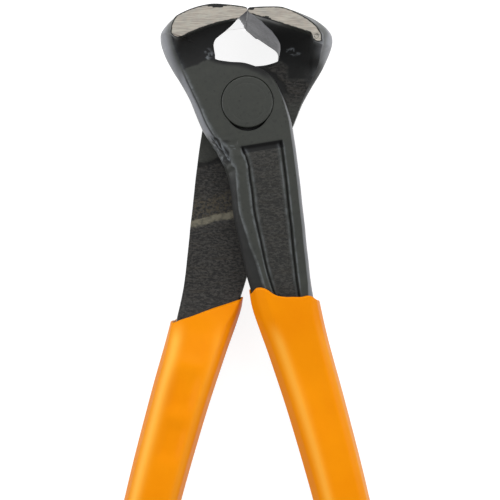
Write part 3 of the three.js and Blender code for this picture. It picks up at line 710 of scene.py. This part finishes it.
def make_lever(name, body, turned_over, steel, material):
    """One forged lever with its marks, forge skin and flash, and the rivet's bore and sink cut out."""
    rings, row = lever_rings(*((0.0, MOUTH_RISE) if turned_over else (MOUTH_SLANT, 0.0)))
    marks = lever_marks(name, rings, row)
    seed = SEEDS[name]
    for at, half_size in BLACK_SPOTS[name]:
        marks["ground"] = np.minimum(marks["ground"], mix(9, 0.1, spot(rings, at, half_size)))
    for at, half_size in WORN_SPOTS[name]:
        marks["ridge"] = np.maximum(marks["ridge"], worn_patch(rings, at, half_size, seed))
    for at, half_size in SMUDGES[name]:
        marks["flank"] = np.maximum(marks["flank"], 0.75 * spot(rings, at, half_size))
    if turned_over:
        # Painted shadow of the other lever's hub, in black
        marks["flank"] = np.maximum(marks["flank"], hub_shadow(rings, seed))
        x, y = rings[..., 0] - FACE_END_AT[0], rings[..., 1] - FACE_END_AT[1]
        rounded = np.minimum(marks["ground"], FACE_END_RADIUS - np.hypot(x, y))
        marks["ground"] = np.where((y < 0) & (x < 1), rounded, marks["ground"])
        rings = punch_mark(rings, marks)
    else:
        marks["mouth"] *= np.where(rings[..., 0] > POLISH_FROM[0] + POLISH_FROM[1] * rings[..., 2], 1, 2)
        rings = flash_burr(rings, marks, row, steel, seed)
    rings = forge_skin(rings, marks, row, steel, seed)
    marks["lap"] = marks["lap"] * (1 - np.clip(marks["flank"], 0, 1))
    lever = skin(name, rings, marks, turned_over)
    cut(lever, skin("bore", turned_body(BORE), {}, turned_over))
    cut(lever, skin("sink", turned_body(SINK, SINK_CENTRE), {}, turned_over))
    sink_paint_and_shade(lever, marks, turned_over)
    lever.data.materials.append(material)
    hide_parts(name)
    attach(lever, body)
    lever.name = name + "_forging"


def make_rivet(material):
    """The rivet: a turned shank with two wide heads, round-rimmed, crowned and with a faint turned ring."""
    turn = np.linspace(0, math.pi / 2, 7)
    rim = zip(HEAD_RADIUS - RIM_ROUND * (1 - np.cos(turn)), HEAD_FACE - RIM_DROP + RIM_ROUND * np.sin(turn))
    radii = np.array(FACE_RADII)
    turned_ring = RING_DEPTH * bell(radii - RING_RADIUS, RING_WIDTH)
    face = zip(radii, HEAD_FACE - CROWN * (radii / CROWN_RADIUS) ** 2 - turned_ring)
    half = [(SHANK, 0.0), (SHANK, HEAD_SEAT), (HEAD_RADIUS - 0.02, HEAD_SEAT), *rim, *face]
    profile = [(r, -z) for r, z in half[:0:-1]] + half[1:]
    rivet = skin("rivet_body", turned_body(profile), {}, False)
    rivet.data.materials.append(material)
    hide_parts("rivet")
    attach(rivet, "front_half")


def evened(rings):
    """Each closed ring read again at even steps round its length. All rings are laid end to end on one
    scale, one unit to a ring, and read together."""
    closed = np.concatenate([rings, rings[:, :1]], 1)
    length = np.cumsum(np.linalg.norm(np.diff(closed, axis=1), axis=2), 1)
    share = np.hstack([np.zeros((len(rings), 1)), length / length[:, -1:] * (1 - 1e-9)])
    number = np.arange(len(rings))[:, None]
    wanted = (np.arange(GRIP_AROUND) / GRIP_AROUND + number).ravel()
    scale = (share + number).ravel()
    axes = [np.interp(wanted, scale, closed[..., k].ravel()) for k in range(3)]
    return np.stack(axes, 1).reshape(len(rings), GRIP_AROUND, 3)


def softened(rings, radius):
    """Even rings with their corners rounded: each outline is blurred over the radius, in millimetres."""
    rings = evened(rings)
    around = np.linalg.norm(np.roll(rings, -1, 1) - rings, axis=2).sum(1)
    waves = np.fft.rfft(rings, axis=1)
    number = np.arange(waves.shape[1])[None, :, None]
    weaken = np.exp(-0.5 * (2 * math.pi * number * radius / around[:, None, None]) ** 2)
    return np.fft.irfft(waves * weaken, rings.shape[1], axis=1)


def read_down(sheet, distances, wanted):
    """Points of a sheet of rings, whose distances down the handle are even, read at each place's own
    distance."""
    place = np.clip((wanted - distances[0]) / (distances[1] - distances[0]), 0, len(distances) - 1.001)
    at = place.astype(int)
    column = np.arange(sheet.shape[1])[None, :]
    return mix(sheet[at, column], sheet[at + 1, column], (place - at)[..., None])


def make_grip(name, body, turned_over, rim, grip, material):
    """A dipped grip in one skin: up the inside, over the round lip, which slants and waves a little, and
    down the coat with its hollows to a round end."""
    straight = HANDLE_LENGTH - GRIP_END_ROUND
    distances = np.linspace(SHEET_FROM, straight, SHEET_ROWS)
    outside, inside = (softened(section(handle_stations(distances), offset, bevel=1.0), radius)
                       for offset, radius in ((COAT, grip.corner_round), (GRIP_FIT, LINING_ROUND)))
    guide = outside[GUIDE_ROW]
    share = (guide[:, 0] - guide[:, 0].min()) / (guide[:, 0].max() - guide[:, 0].min())
    seen = smooth(guide[:, 2] * (-1 if turned_over else 1), -1, 1)
    wave = through(np.array(rim["wave"])[:, None], share * (len(rim["wave"]) - 1))[:, 0]
    start = mix(rim["crotch"], rim["back"], share) + wave * mix(0.4, 1.0, seen)
    steps = ((np.arange(1, COAT_ROWS + 1) / COAT_ROWS) ** COAT_POWER)[:, None]
    drawn_in = RIM_INWARD * (1 - smooth(share, *RIM_INWARD_SHARES))[:, None] * grip.rim_taper
    coat = read_down(outside, distances, mix(start, straight, steps))
    coat += drawn_in * bell(((straight - start) * steps)[..., None], RIM_INWARD_OVER, 1)
    turn = np.linspace(0, math.pi, LIP_ROWS)[:, None]
    lip_at = start - grip.lip_round * np.sin(turn)
    lip = mix(read_down(inside, distances, lip_at), read_down(outside, distances, lip_at) + drawn_in,
              ((1 - np.cos(turn)) / 2)[..., None])
    steps = np.linspace(1, 0, LINING_ROWS, endpoint=False)[:, None]
    lining = read_down(inside, distances, mix(start, TANG_END, steps))
    inner_end = rounded_end(TANG_END, TANG_END_ROUND + GRIP_FIT, GRIP_FIT, END_ROWS, 1.0)
    outer_end = rounded_end(straight, GRIP_END_ROUND, COAT, END_ROWS, 1.0)
    coat = worn_hollows(coat, rim["hollows"], grip, turned_over)
    rings = np.concatenate([softened(inner_end, LINING_ROUND)[::-1], lining, lip, coat,
                            softened(outer_end, grip.corner_round)])
    # Painted highlight bands on the grip's upper side
    highlight_bands = [weight * bell(share - at, width) for at, width, weight in rim["pale"]]
    pale = np.maximum.reduce(highlight_bands) * seen * smooth(rings[..., 1], *HIGHLIGHT_Y)
    grip_piece = skin(name + "_coat", rings, {"pale": pale}, turned_over, GRIP_CREASE)
    grip_piece.data.materials.append(material)
    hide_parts(name)
    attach(grip_piece, body)


def worn_hollows(rings, hollows, grip, turned_over):
    """Sinks shallow hollows in the coat's upper side: centre, half sizes along and across, and depth."""
    normal = outward(rings)
    for x, y, along, across, depth in hollows:
        offset = rings[..., :2] - (x, y)
        down, side = offset @ HANDLE_AXIS, offset @ np.array([HANDLE_AXIS[1], -HANDLE_AXIS[0]])
        upper = smooth(rings[..., 2] * (-1 if turned_over else 1), -1, 2)
        hollow_share = bell(down, along, 4) * bell(side, across, 4) * upper
        rings = rings - normal * (depth * grip.hollow_scale * hollow_share)[..., None]
    return rings


# Zones down the lap, in millimetres along its slant: where each comes in and where it goes out
# The second zone, at the lap's small step, takes black painted shade
UPPER_ZONE, STEP_SHADE = ((-11.2, -10.8), (0.0, -4.0)), ((-11.9, -11.4), (-10.5, -11.0))
RUST_ZONE, BAND_ZONE = ((-24.6, -23.9), (-18.5, -20.5)), ((-26.2, -25.5), (-23.9, -24.3))

# Turn and stretch of the lap's flakes and of the torn flash's shreds
FLAKE_TURN, FLAKE_SCALE = 0.25, (1.0, 2.1, 1.0)
SHRED_TURN, SHRED_SCALE = -1.05, (3.2, 1.0, 1.0)


class Nodes:
    """The node tree of one material or shared effect, with short ways to add the usual nodes."""

    def __init__(self, tree):
        self.tree = tree

    def add(self, kind, inputs, **settings):
        """A node with its settings, and with each input set to a value or a colour, or linked to a socket."""
        made = self.tree.nodes.new("ShaderNode" + kind)
        for key, value in settings.items():
            setattr(made, key, value)
        for key, value in inputs.items():
            if isinstance(value, bpy.types.NodeSocket):
                self.tree.links.new(value, made.inputs[key])
            else:
                made.inputs[key].default_value = (*value, 1.0) if made.inputs[key].type == "RGBA" else value
        return made

    def step(self, operation, a, b):
        """One arithmetic step on numbers or sockets."""
        return self.add("Math", {0: a, 1: b}, operation=operation).outputs[0]

    def times(self, a, b):
        """a times b."""
        return self.step("MULTIPLY", a, b)

    def plus(self, a, b):
        """a and b together."""
        return self.step("ADD", a, b)

    def less(self, a, b):
        """a less b."""
        return self.step("SUBTRACT", a, b)

    def blend(self, share, a, b):
        """Colour a where share is 0 and b where it is 1."""
        return self.add("Mix", {0: share, 6: a, 7: b}, data_type="RGBA").outputs[2]

    def ramp(self, value, start, end, low=0.0, high=1.0):
        """low up to start, high from end on, and a soft step between."""
        inputs = {"Value": value, "From Min": start, "From Max": end, "To Min": low, "To Max": high}
        return self.add("MapRange", inputs, interpolation_type="SMOOTHSTEP").outputs["Result"]

    def noise(self, where, scale, detail, roughness=0.5, distortion=0.0):
        """Cloudy noise."""
        inputs = {"Vector": where, "Scale": scale, "Detail": detail, "Roughness": roughness}
        return self.add("TexNoise", {**inputs, "Distortion": distortion}).outputs["Fac"]


class Finish(Nodes):
    """A material whose patterns lie over the object's coordinates."""

    def __init__(self, name):
        self.material = bpy.data.materials.new(name)
        self.material.use_nodes = True
        super().__init__(self.material.node_tree)
        self.tree.nodes.clear()
        self.where = self.add("TexCoord", {}).outputs["Object"]

    def effect(self, name, **inputs):
        """Outputs of a shared effect, placed with its values for this material."""
        shared = bpy.data.node_groups[name]
        return self.add("Group", {"Vector": self.where, **inputs}, node_tree=shared).outputs

    def turned(self, angle, scale, kind):
        """The object's coordinates turned about the upright axis and scaled."""
        inputs = {"Vector": self.where, "Rotation": (0.0, 0.0, angle), "Scale": scale}
        return self.add("Mapping", inputs, vector_type=kind).outputs["Vector"]

    def mark(self, name):
        """A value kept on the piece's points."""
        return self.add("Attribute", {}, attribute_name=name).outputs["Fac"]

    def bump(self, height, strength, distance):
        """A normal that follows the height."""
        inputs = {"Strength": strength, "Distance": distance, "Height": height}
        return self.add("Bump", inputs).outputs["Normal"]

    def done(self, inputs):
        """The finished material."""
        surface = self.add("BsdfPrincipled", inputs).outputs["BSDF"]
        self.add("OutputMaterial", {"Surface": surface})
        return self.material


def shared_effect(name, inputs, outputs):
    """An empty node group with named number inputs, each with its default, over the given coordinates."""
    tree = bpy.data.node_groups.new(name, "ShaderNodeTree")
    tree.interface.new_socket("Vector", in_out="INPUT", socket_type="NodeSocketVector")
    for label, value in inputs.items():
        tree.interface.new_socket(label, in_out="INPUT", socket_type="NodeSocketFloat").default_value = value
    for label in outputs:
        tree.interface.new_socket(label, in_out="OUTPUT", socket_type="NodeSocketFloat")
    return Nodes(tree), tree.nodes.new("NodeGroupInput").outputs, tree.nodes.new("NodeGroupOutput").inputs


def build_groups():
    """The effects that several materials share: mottling, forge scale and fine strokes."""
    made, given, out = shared_effect("mottle", {"Size": 0.004, "Contrast": 0.3}, ["Share"])
    noise = made.noise(given["Vector"], made.step("DIVIDE", 1.0, given["Size"]), 5.0, 0.62)
    low, high = made.less(0.5, given["Contrast"]), made.plus(0.5, given["Contrast"])
    made.tree.links.new(made.ramp(noise, low, high), out["Share"])

    made, given, out = shared_effect("forge_scale", {"Size": 0.001}, ["Height", "Pits"])
    scale = made.step("DIVIDE", 1.0, given["Size"])
    grain = made.noise(given["Vector"], scale, 4.0, 0.7)
    cells = made.add("TexVoronoi", {"Vector": given["Vector"], "Scale": made.times(scale, 0.7)},
                     feature="SMOOTH_F1").outputs["Distance"]
    pits = made.times(made.ramp(cells, 0.12, 0.34, 1.0, 0.0), made.ramp(grain, 0.45, 0.62))
    made.tree.links.new(made.less(grain, made.times(pits, 0.8)), out["Height"])
    made.tree.links.new(pits, out["Pits"])

    made, given, out = shared_effect("strokes", {"Width": 0.0002, "Length": 0.006}, ["Share"])
    split = made.add("SeparateXYZ", {"Vector": given["Vector"]}).outputs
    sizes = {"X": "Length", "Y": "Width", "Z": "Length"}
    squeezed = made.add("CombineXYZ", {axis: made.step("DIVIDE", split[axis], given[size])
                                       for axis, size in sizes.items()}).outputs["Vector"]
    made.tree.links.new(made.noise(squeezed, 1.0, 3.0, 0.6), out["Share"])


def steel_material(name, steel, marked):
    """Graphite paint over forged steel. On a lever the marks on its points bring in the ground, bare and
    rough places, black painted shade, grey painted reflection, and ridges lighter by wear and by painted
    highlight."""
    made = Finish(name)
    times, plus, less, blend, ramp, mark = made.times, made.plus, made.less, made.blend, made.ramp, made.mark
    mottle = made.effect("mottle", Size=0.0022, Contrast=0.32)["Share"]
    base = blend(mottle, steel.paint_dark, steel.paint)
    scale = made.effect("forge_scale", Size=0.00075)
    base = blend(times(scale["Pits"], 0.55), base, steel.pit)
    roughness = ramp(mottle, 0, 1, steel.paint_roughness + 0.06, steel.paint_roughness - 0.04)
    height = times(scale["Height"], 0.10)
    surface = {"Specular IOR Level": steel.shine}
    if marked:
        # Grey painted reflection on the outer sides, and black painted shade in the hollows under the jaw's
        # side faces and the other shaded places
        flank = mark("flank")
        base = blend(times(mark("side"), 0.85), base, steel.side)
        base = blend(flank, base, steel.flank)

        # The lap: uneven scale with streaks across the lever, two ground zones, black painted shade at a
        # small step, and a bright band
        lap, slant = mark("lap"), mark("slant")
        coarse = made.effect("forge_scale", Size=0.0016)["Height"]
        flakes = made.noise(made.turned(FLAKE_TURN, FLAKE_SCALE, "POINT"), 1100.0, 5.0, 0.68, 0.5)
        streaks = made.effect("strokes", Width=0.00055, Length=0.0045)["Share"]
        wander = made.noise(made.where, 330.0, 6.0, 0.65)
        place = plus(slant, times(less(wander, 0.5), 2.4))
        upper, step_shade, rusty, zone = (times(ramp(place, *rise), ramp(place, *fall))
                                         for rise, fall in (UPPER_ZONE, STEP_SHADE, RUST_ZONE, BAND_ZONE))
        rough = blend(ramp(flakes, 0.41, 0.62), steel.lap_dark, steel.lap)
        rough = blend(times(ramp(streaks, 0.5, 0.68), 0.35), rough, steel.lap_brown)
        grit = made.effect("mottle", Size=0.0006, Contrast=0.2)["Share"]
        rough = blend(times(rusty, ramp(grit, 0.3, 1.0, 0.0, 0.7)), rough, steel.lap_rust)
        rough = blend(times(upper, 0.7), rough, steel.paint)
        rough = blend(times(step_shade, 0.8), rough, steel.flank)
        speck = ramp(coarse, 0.32, 0.62)
        rough = blend(times(zone, plus(0.35, times(speck, 0.5))), rough, steel.band)
        base = blend(lap, base, rough)
        roughness = plus(roughness, times(lap, 0.18))
        grooved = times(ramp(slant, -31.0, -28.0), times(streaks, 0.3))
        relief = plus(plus(times(coarse, 0.3), grooved), times(flakes, 1.1))
        height = plus(height, times(lap, relief))

        # Torn flash: black painted shade in its crevices, between thin lips lighter by wear and by painted
        # highlight
        torn = mark("torn")
        shreds = made.noise(made.turned(SHRED_TURN, SHRED_SCALE, "TEXTURE"), 1300.0, 3.0, distortion=0.6)
        lips = blend(ramp(shreds, 0.5, 0.66), steel.flank, steel.ridge)
        base = blend(times(torn, 0.6), base, lips)
        height = plus(height, times(torn, times(shreds, 1.6)))

        # Bare inner side of the jaw
        wall = mark("mouth")
        specks = made.effect("mottle", Size=0.0006, Contrast=0.22)["Share"]
        base = blend(ramp(wall, 0.0, 1.0), base, blend(specks, steel.mouth_dark, steel.mouth))
        polished = ramp(wall, 1.2, 1.9)
        base = blend(polished, base, steel.polished)

        # Ridges lighter by wear and by painted highlight
        ridge = times(mark("ridge"), ramp(mottle, 0.25, 0.75, 0.25, 0.8))
        base = blend(times(ridge, 0.5), base, steel.ridge)

        # Ground side face: short strokes along the jaw inside an uneven black border
        jagged = times(less(made.noise(made.where, 1400.0, 2.0), 0.5), 0.35)
        ground = plus(mark("ground"), jagged)
        bright = ramp(ground, 0.22, 0.36)
        border = times(ramp(ground, -0.05, 0.05), less(1.0, bright))
        strokes = made.effect("strokes", Width=0.00016, Length=0.0028)["Share"]
        steely = blend(ramp(strokes, 0.36, 0.64), steel.ground_dark, steel.ground)
        patches = made.effect("mottle", Size=0.0014, Contrast=0.2)["Share"]
        steely = blend(times(patches, 0.4), steely, steel.ground_warm)
        base = blend(times(border, 0.9), base, steel.flank)
        base = blend(bright, base, steely)
        roughness = plus(roughness, times(flank, 0.25))
        roughness = plus(roughness, times(polished, steel.polished_roughness - steel.paint_roughness))
        surface["Metallic"] = plus(times(bright, steel.ground_metal), polished)
        height = times(height, less(1.0, polished))
        height = plus(times(height, less(1.0, bright)), times(bright, times(strokes, 0.16)))
    return made.done({**surface, "Base Color": base, "Roughness": roughness,
                      "Normal": made.bump(height, 0.6, 0.00022)})


def vinyl_material(grip):
    """Glossy dipped vinyl: a clean orange that is a touch deeper in places, with paler painted highlight
    bands and a very fine skin.
    """
    made = Finish("dipped_vinyl")
    base = made.blend(made.effect("mottle", Size=0.016, Contrast=0.3)["Share"], grip.deep, grip.colour)
    # Painted highlight: paler orange in bands along the steel's corners, on the grip's upper side
    base = made.blend(made.mark("pale"), base, grip.pale)
    cloud = made.effect("mottle", Size=0.0035, Contrast=0.4)["Share"]
    roughness = made.ramp(cloud, 0, 1, grip.roughness - 0.02, grip.roughness + 0.04)
    fine_skin = made.bump(made.effect("forge_scale", Size=0.0009)["Height"], 0.05, 0.0001)
    return made.done({"Base Color": base, "Roughness": roughness, "Specular IOR Level": grip.shine,
                      "Normal": fine_skin})


def floor_material(stage):
    """A pale floor that still takes a shadow: a matt surface, with a plain glow for rays from the camera
    and for rays that a glossy or clear surface sends on."""
    made = Finish("floor")
    faint = made.effect("mottle", Size=0.03, Contrast=0.4)["Share"]
    pale = made.blend(made.times(faint, 0.03), stage.floor_colour, (0.7, 0.7, 0.7))
    path = made.add("LightPath", {}).outputs
    seen = made.step("MAXIMUM", path["Is Camera Ray"],
                    made.step("MAXIMUM", path["Is Glossy Ray"], path["Is Transmission Ray"]))
    glow = made.times(seen, stage.floor_glow)
    return made.done({"Base Color": pale, "Roughness": 0.9, "Specular IOR Level": 0.1,
                      "Emission Color": (1.0, 1.0, 1.0), "Emission Strength": glow})


# Rims of the grips, in millimetres down the handle line, with their waves from the crotch side to the back,
# the shallow hollows of the coat (centre, half lengths along and across, depth) and its painted highlight
# bands (place across, width, strength)
RIGHT_RIM = {"crotch": 10.9, "back": 18.3, "wave": [1.8, -0.1, -0.45, 0.6, 0.6, 0.2, -0.2, -0.85, 0.1],
             "hollows": [(16.5, -70.0, 8.0, 2.8, 0.15)], "pale": [(0.2, 0.07, 0.55), (0.9, 0.08, 0.25)]}
LEFT_RIM = {"crotch": 13.1, "back": 23.4, "wave": [0.9, 0.75, 0.6, 0.45, 0.45, 0.5, 0.5, 0.4, 0.5],
            "hollows": [(12.3, -56.2, 4.5, 3.2, 0.2), (15.1, -67.8, 5.0, 3.0, 0.3),
                        (17.9, -79.5, 4.5, 2.6, 0.25)],
            "pale": [(0.89, 0.09, 0.75), (0.24, 0.07, 0.2)]}

# Floor: height below the parting plane where the jaw and the grips rest on it, points to a side and reach
# in mm
FLOOR_AT_JAW, FLOOR_AT_GRIPS = (19.0, -12.35), (-152.0, -5.4)
FLOOR_POINTS, FLOOR_REACH, FLOOR_MIDDLE_Y = 61, 4000, -60

# Lamps: place, width and length, setting that holds the power, and colour. All face the middle of the head.
LAMP_AIM = (0.0, -0.03, 0.0)
LAMPS = {"lamp_top": ((0.0, 0.55, 0.60), (0.9, 0.5), "key", (1.0, 1.0, 1.0)),
         "lamp_left": ((-0.65, 0.02, 0.38), (0.35, 0.9), "left", (0.95, 0.98, 1.0)),
         "lamp_right": ((0.65, 0.02, 0.38), (0.35, 0.9), "right", (0.95, 0.98, 1.0))}
SENSOR, VIEW_PIXELS = 36.0, 500


def shade(name, about, default):
    """A colour property."""
    return FloatVectorProperty(name=name, description=about, default=default, min=0, max=1, subtype="COLOR")


def number(name, about, default, low=0.0, high=1.0, **kind):
    """A number property."""
    return FloatProperty(name=name, description=about, default=default, min=low, max=high, **kind)


def factor(name, about, default, low=0.0, high=1.0):
    """A share property."""
    return number(name, about, default, low, high, subtype="FACTOR")


def length(name, about, default, low=-5.0):
    """A length property, in metres."""
    return number(name, about, default, low, 5.0, unit="LENGTH")


class NippersSteel(bpy.types.PropertyGroup):
    """Finish and unevenness of the forged levers and the rivet."""
    skin_depth: number("Skin depth", "Depth of the forged skin's hollows, in millimetres", 0.16, 0, 0.5)
    burr_depth: number("Flash depth", "Depth of the torn forging flash, in millimetres", 0.75, 0, 1.5)
    paint: shade("Paint", "Graphite paint", (0.040, 0.042, 0.036))
    paint_dark: shade("Paint, darker", "Graphite paint in its darker patches", (0.029, 0.031, 0.027))
    paint_roughness: factor("Paint roughness", "Roughness of the semi-gloss paint", 0.40, 0.1)
    shine: factor("Shine", "Strength of the paint's reflection", 0.35)
    pit: shade("Pits", "Bottom of the small pits", (0.010, 0.010, 0.010))
    # Black painted shade of the flanks and the other shaded places
    flank: shade("Flanks", "Black hollows below the jaw's side faces", (0.004, 0.004, 0.004))
    # Grey painted reflection on the outer sides
    side: shade("Outer sides", "Bluish outer sides of the head", (0.25, 0.255, 0.28))
    lap: shade("Lap", "Scaly flat of the joint and handle", (0.038, 0.035, 0.031))
    lap_dark: shade("Lap, darker", "Dark parts of the lap's scale", (0.003, 0.0026, 0.0024))
    lap_brown: shade("Lap streaks", "Brownish streaks across the lap", (0.030, 0.024, 0.016))
    lap_rust: shade("Lap rust", "Rusty tint beside the worn band", (0.070, 0.056, 0.032))
    band: shade("Worn band", "Bright rubbed band across the lap", (0.17, 0.155, 0.11))
    mouth: shade("Mouth", "Bare steel inside the jaws", (0.16, 0.16, 0.185))
    mouth_dark: shade("Mouth, darker", "Darker specks of the steel inside the jaws", (0.085, 0.085, 0.10))
    # Lighter steel: wear on the spots, and wear and painted highlight along the ridges and the flash's lips
    ridge: shade("Ridges", "Worn ridges", (0.20, 0.215, 0.23))
    polished: shade("Polished wall", "Polished inner side of the left jaw", (0.93, 0.93, 0.93))
    polished_roughness: factor("Polished roughness", "Roughness of the polished wall", 0.10)
    ground: shade("Ground steel", "Bright ground side of the jaws", (0.46, 0.435, 0.375))
    ground_dark: shade("Ground steel, darker", "Strokes left by the grinding", (0.28, 0.265, 0.24))
    ground_warm: shade("Ground steel, warm", "Warm patches of the ground face", (0.42, 0.34, 0.28))
    ground_metal: factor("Ground metal", "Metallic share of the ground face", 0.25)


class NippersGrip(bpy.types.PropertyGroup):
    """Shape and finish of the dipped grips."""
    corner_round: number("Corner blur", "How far the coat rounds the steel's corners, in mm", 0.35, 0.1, 2)
    lip_round: number("Lip", "Height of the round lip at the grip's rim, in millimetres", 0.4)
    rim_taper: number("Rim taper", "How far the rim draws in on the crotch side, in mm", 0.7)
    hollow_scale: factor("Hollows", "Depth of the hollows in the coat, as a share", 2.4, 0, 3)
    colour: shade("Vinyl", "Orange vinyl", (0.86, 0.275, 0.002))
    deep: shade("Vinyl, deeper", "Orange vinyl in its deeper patches", (0.81, 0.235, 0.001))
    # Painted highlight along the grips' corners, in paler orange
    pale: shade("Vinyl, pale", "Thin vinyl along the corners of the steel", (1.0, 0.50, 0.07))
    roughness: factor("Roughness", "Roughness of the vinyl", 0.36, 0.05)
    shine: factor("Shine", "Strength of the vinyl's reflection", 0.05)


class NippersStage(bpy.types.PropertyGroup):
    """Floor, lamps and camera."""
    distance: length("Camera distance", "Height of the camera over the tool", 0.30, 0.1)
    pixels_per_mm: number("Scale", "Pixels to a millimetre at the joint in a 500 pixel view", 4.182, 1, 20)
    centre_x: length("View centre X", "Middle of the view, across", 0.000728)
    centre_y: length("View centre Y", "Middle of the view, along", -0.03450)
    camera_x: length("Camera X", "Place of the camera, across", -0.0044)
    camera_y: length("Camera Y", "Place of the camera, along", -0.03905)
    roll: number("Camera roll", "Turn of the view about its middle", 0.0010, -0.5, 0.5, subtype="ANGLE")
    floor_colour: shade("Floor", "Matt floor", (0.30, 0.30, 0.30))
    floor_glow: number("Floor glow", "Plain glow of the floor towards the camera", 0.87)
    world: number("Surroundings", "Strength of the even light from all sides", 0.36, 0, 2)
    key: number("Top lamp", "Power of the lamp beyond the jaws", 3.6, 0, 100, unit="POWER")
    left: number("Left lamp", "Power of the lamp on the left", 3.4, 0, 100, unit="POWER")
    right: number("Right lamp", "Power of the lamp on the right", 3.4, 0, 100, unit="POWER")


class NippersLevers(bpy.types.Operator):
    """Make the two forged levers"""
    bl_idname = "nippers.levers"
    bl_label = "Forged levers"

    def execute(self, context):
        steel = context.scene.nippers_steel
        material = steel_material("painted_forging", steel, True)
        make_lever("front_lever", "front_half", False, steel, material)
        make_lever("rear_lever", "rear_half", True, steel, material)
        return {"FINISHED"}


class NippersRivet(bpy.types.Operator):
    """Make the joint rivet"""
    bl_idname = "nippers.rivet"
    bl_label = "Rivet"

    def execute(self, context):
        make_rivet(steel_material("painted_rivet", context.scene.nippers_steel, False))
        return {"FINISHED"}


class NippersGrips(bpy.types.Operator):
    """Make the two dipped grips"""
    bl_idname = "nippers.grips"
    bl_label = "Dipped grips"

    def execute(self, context):
        grip = context.scene.nippers_grip
        material = vinyl_material(grip)
        make_grip("right_grip", "front_half", False, RIGHT_RIM, grip, material)
        make_grip("left_grip", "rear_half", True, LEFT_RIM, grip, material)
        return {"FINISHED"}


class NippersStageMake(bpy.types.Operator):
    """Make the floor, the lamps, the surroundings and the camera"""
    bl_idname = "nippers.stage"
    bl_label = "Stage"

    def execute(self, context):
        stage = context.scene.nippers_stage
        make_floor(stage)
        make_light(context.scene, stage)
        make_camera(context.scene, stage)
        return {"FINISHED"}


class NippersPanel(bpy.types.Panel):
    """The nippers' pieces, sizes and colours"""
    bl_idname = "NIPPERS_PT_pieces"
    bl_label = "Tile nippers"
    bl_space_type = "VIEW_3D"
    bl_region_type = "UI"
    bl_category = "Nippers"

    def draw(self, context):
        for operator, settings in ((NippersLevers, "nippers_steel"), (NippersRivet, None),
                                   (NippersGrips, "nippers_grip"), (NippersStageMake, "nippers_stage")):
            box = self.layout.box()
            box.operator(operator.bl_idname)
            if settings:
                values = getattr(context.scene, settings)
                for key in values.__annotations__:
                    box.prop(values, key)


def make_floor(stage):
    """A wide floor that touches the jaw's back and the handles' ends, with closer points near the tool."""
    spread = np.linspace(-1, 1, FLOOR_POINTS)
    across = FLOOR_REACH * np.sign(spread) * np.abs(spread) ** 3
    x, y = np.meshgrid(across, across + FLOOR_MIDDLE_Y)
    slope = (FLOOR_AT_JAW[1] - FLOOR_AT_GRIPS[1]) / (FLOOR_AT_JAW[0] - FLOOR_AT_GRIPS[0])
    points = np.stack([x, y, FLOOR_AT_JAW[1] + slope * (y - FLOOR_AT_JAW[0])], 2).reshape(-1, 3)
    steps = np.arange(FLOOR_POINTS - 1)
    a = (steps[:, None] * FLOOR_POINTS + steps).ravel()
    faces = np.stack([a, a + 1, a + FLOOR_POINTS + 1, a + FLOOR_POINTS], 1)
    floor = finished("floor", points, [faces], {}, CREASE)
    floor.data.materials.append(floor_material(stage))


def make_light(scene, stage):
    """Even surroundings, and soft lamps beyond the jaws and on each side, all turned to the head."""
    world = bpy.data.worlds.new("studio")
    world.use_nodes = True
    background = world.node_tree.nodes["Background"]
    background.inputs["Color"].default_value = (1.0, 1.0, 1.0, 1.0)
    background.inputs["Strength"].default_value = stage.world
    scene.world = world
    for name, (place, size, power, colour) in LAMPS.items():
        data = bpy.data.lights.new(name, "AREA")
        data.shape, data.size, data.size_y = "RECTANGLE", *size
        data.energy, data.color = getattr(stage, power), colour
        lamp = bpy.data.objects.new(name, data)
        scene.collection.objects.link(lamp)
        lamp.location = place
        lamp.rotation_euler = (Vector(LAMP_AIM) - Vector(place)).to_track_quat("-Z", "Y").to_euler()


def make_camera(scene, stage):
    """The camera over the tool, with a lens that gives the wanted scale in the plane of the joint."""
    joint = -HEAD_FACE * 0.001
    place = Vector((stage.camera_x, stage.camera_y, joint + stage.distance))
    aim = Vector((stage.centre_x, stage.centre_y, joint))
    data = bpy.data.cameras.new("camera")
    data.sensor_width = SENSOR
    data.lens = SENSOR * stage.pixels_per_mm * stage.distance * 1000 / VIEW_PIXELS
    data.clip_start, data.clip_end = 0.01, 50
    camera = bpy.data.objects.new("camera", data)
    scene.collection.objects.link(camera)
    ahead = (aim - place).normalized()
    across = ahead.cross(Vector((math.sin(stage.roll), math.cos(stage.roll), 0.0))).normalized()
    turn = Matrix((across, across.cross(ahead), -ahead)).transposed()
    camera.location = place
    camera.rotation_euler = turn.to_euler()
    scene.camera = camera


CLASSES = (NippersSteel, NippersGrip, NippersStage, NippersLevers, NippersRivet, NippersGrips,
           NippersStageMake, NippersPanel)


def register():
    for each in CLASSES:
        bpy.utils.register_class(each)
    bpy.types.Scene.nippers_steel = PointerProperty(type=NippersSteel)
    bpy.types.Scene.nippers_grip = PointerProperty(type=NippersGrip)
    bpy.types.Scene.nippers_stage = PointerProperty(type=NippersStage)


def unregister():
    for name in ("nippers_stage", "nippers_grip", "nippers_steel"):
        delattr(bpy.types.Scene, name)
    for each in reversed(CLASSES):
        bpy.utils.unregister_class(each)


def main():
    """Makes the whole scene."""
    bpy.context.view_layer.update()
    register()
    scene = bpy.context.scene
    scene.view_settings.view_transform = "Standard"
    build_groups()
    bpy.ops.nippers.stage()
    bpy.ops.nippers.levers()
    bpy.ops.nippers.rivet()
    bpy.ops.nippers.grips()


if __name__ == "__main__":
    main()
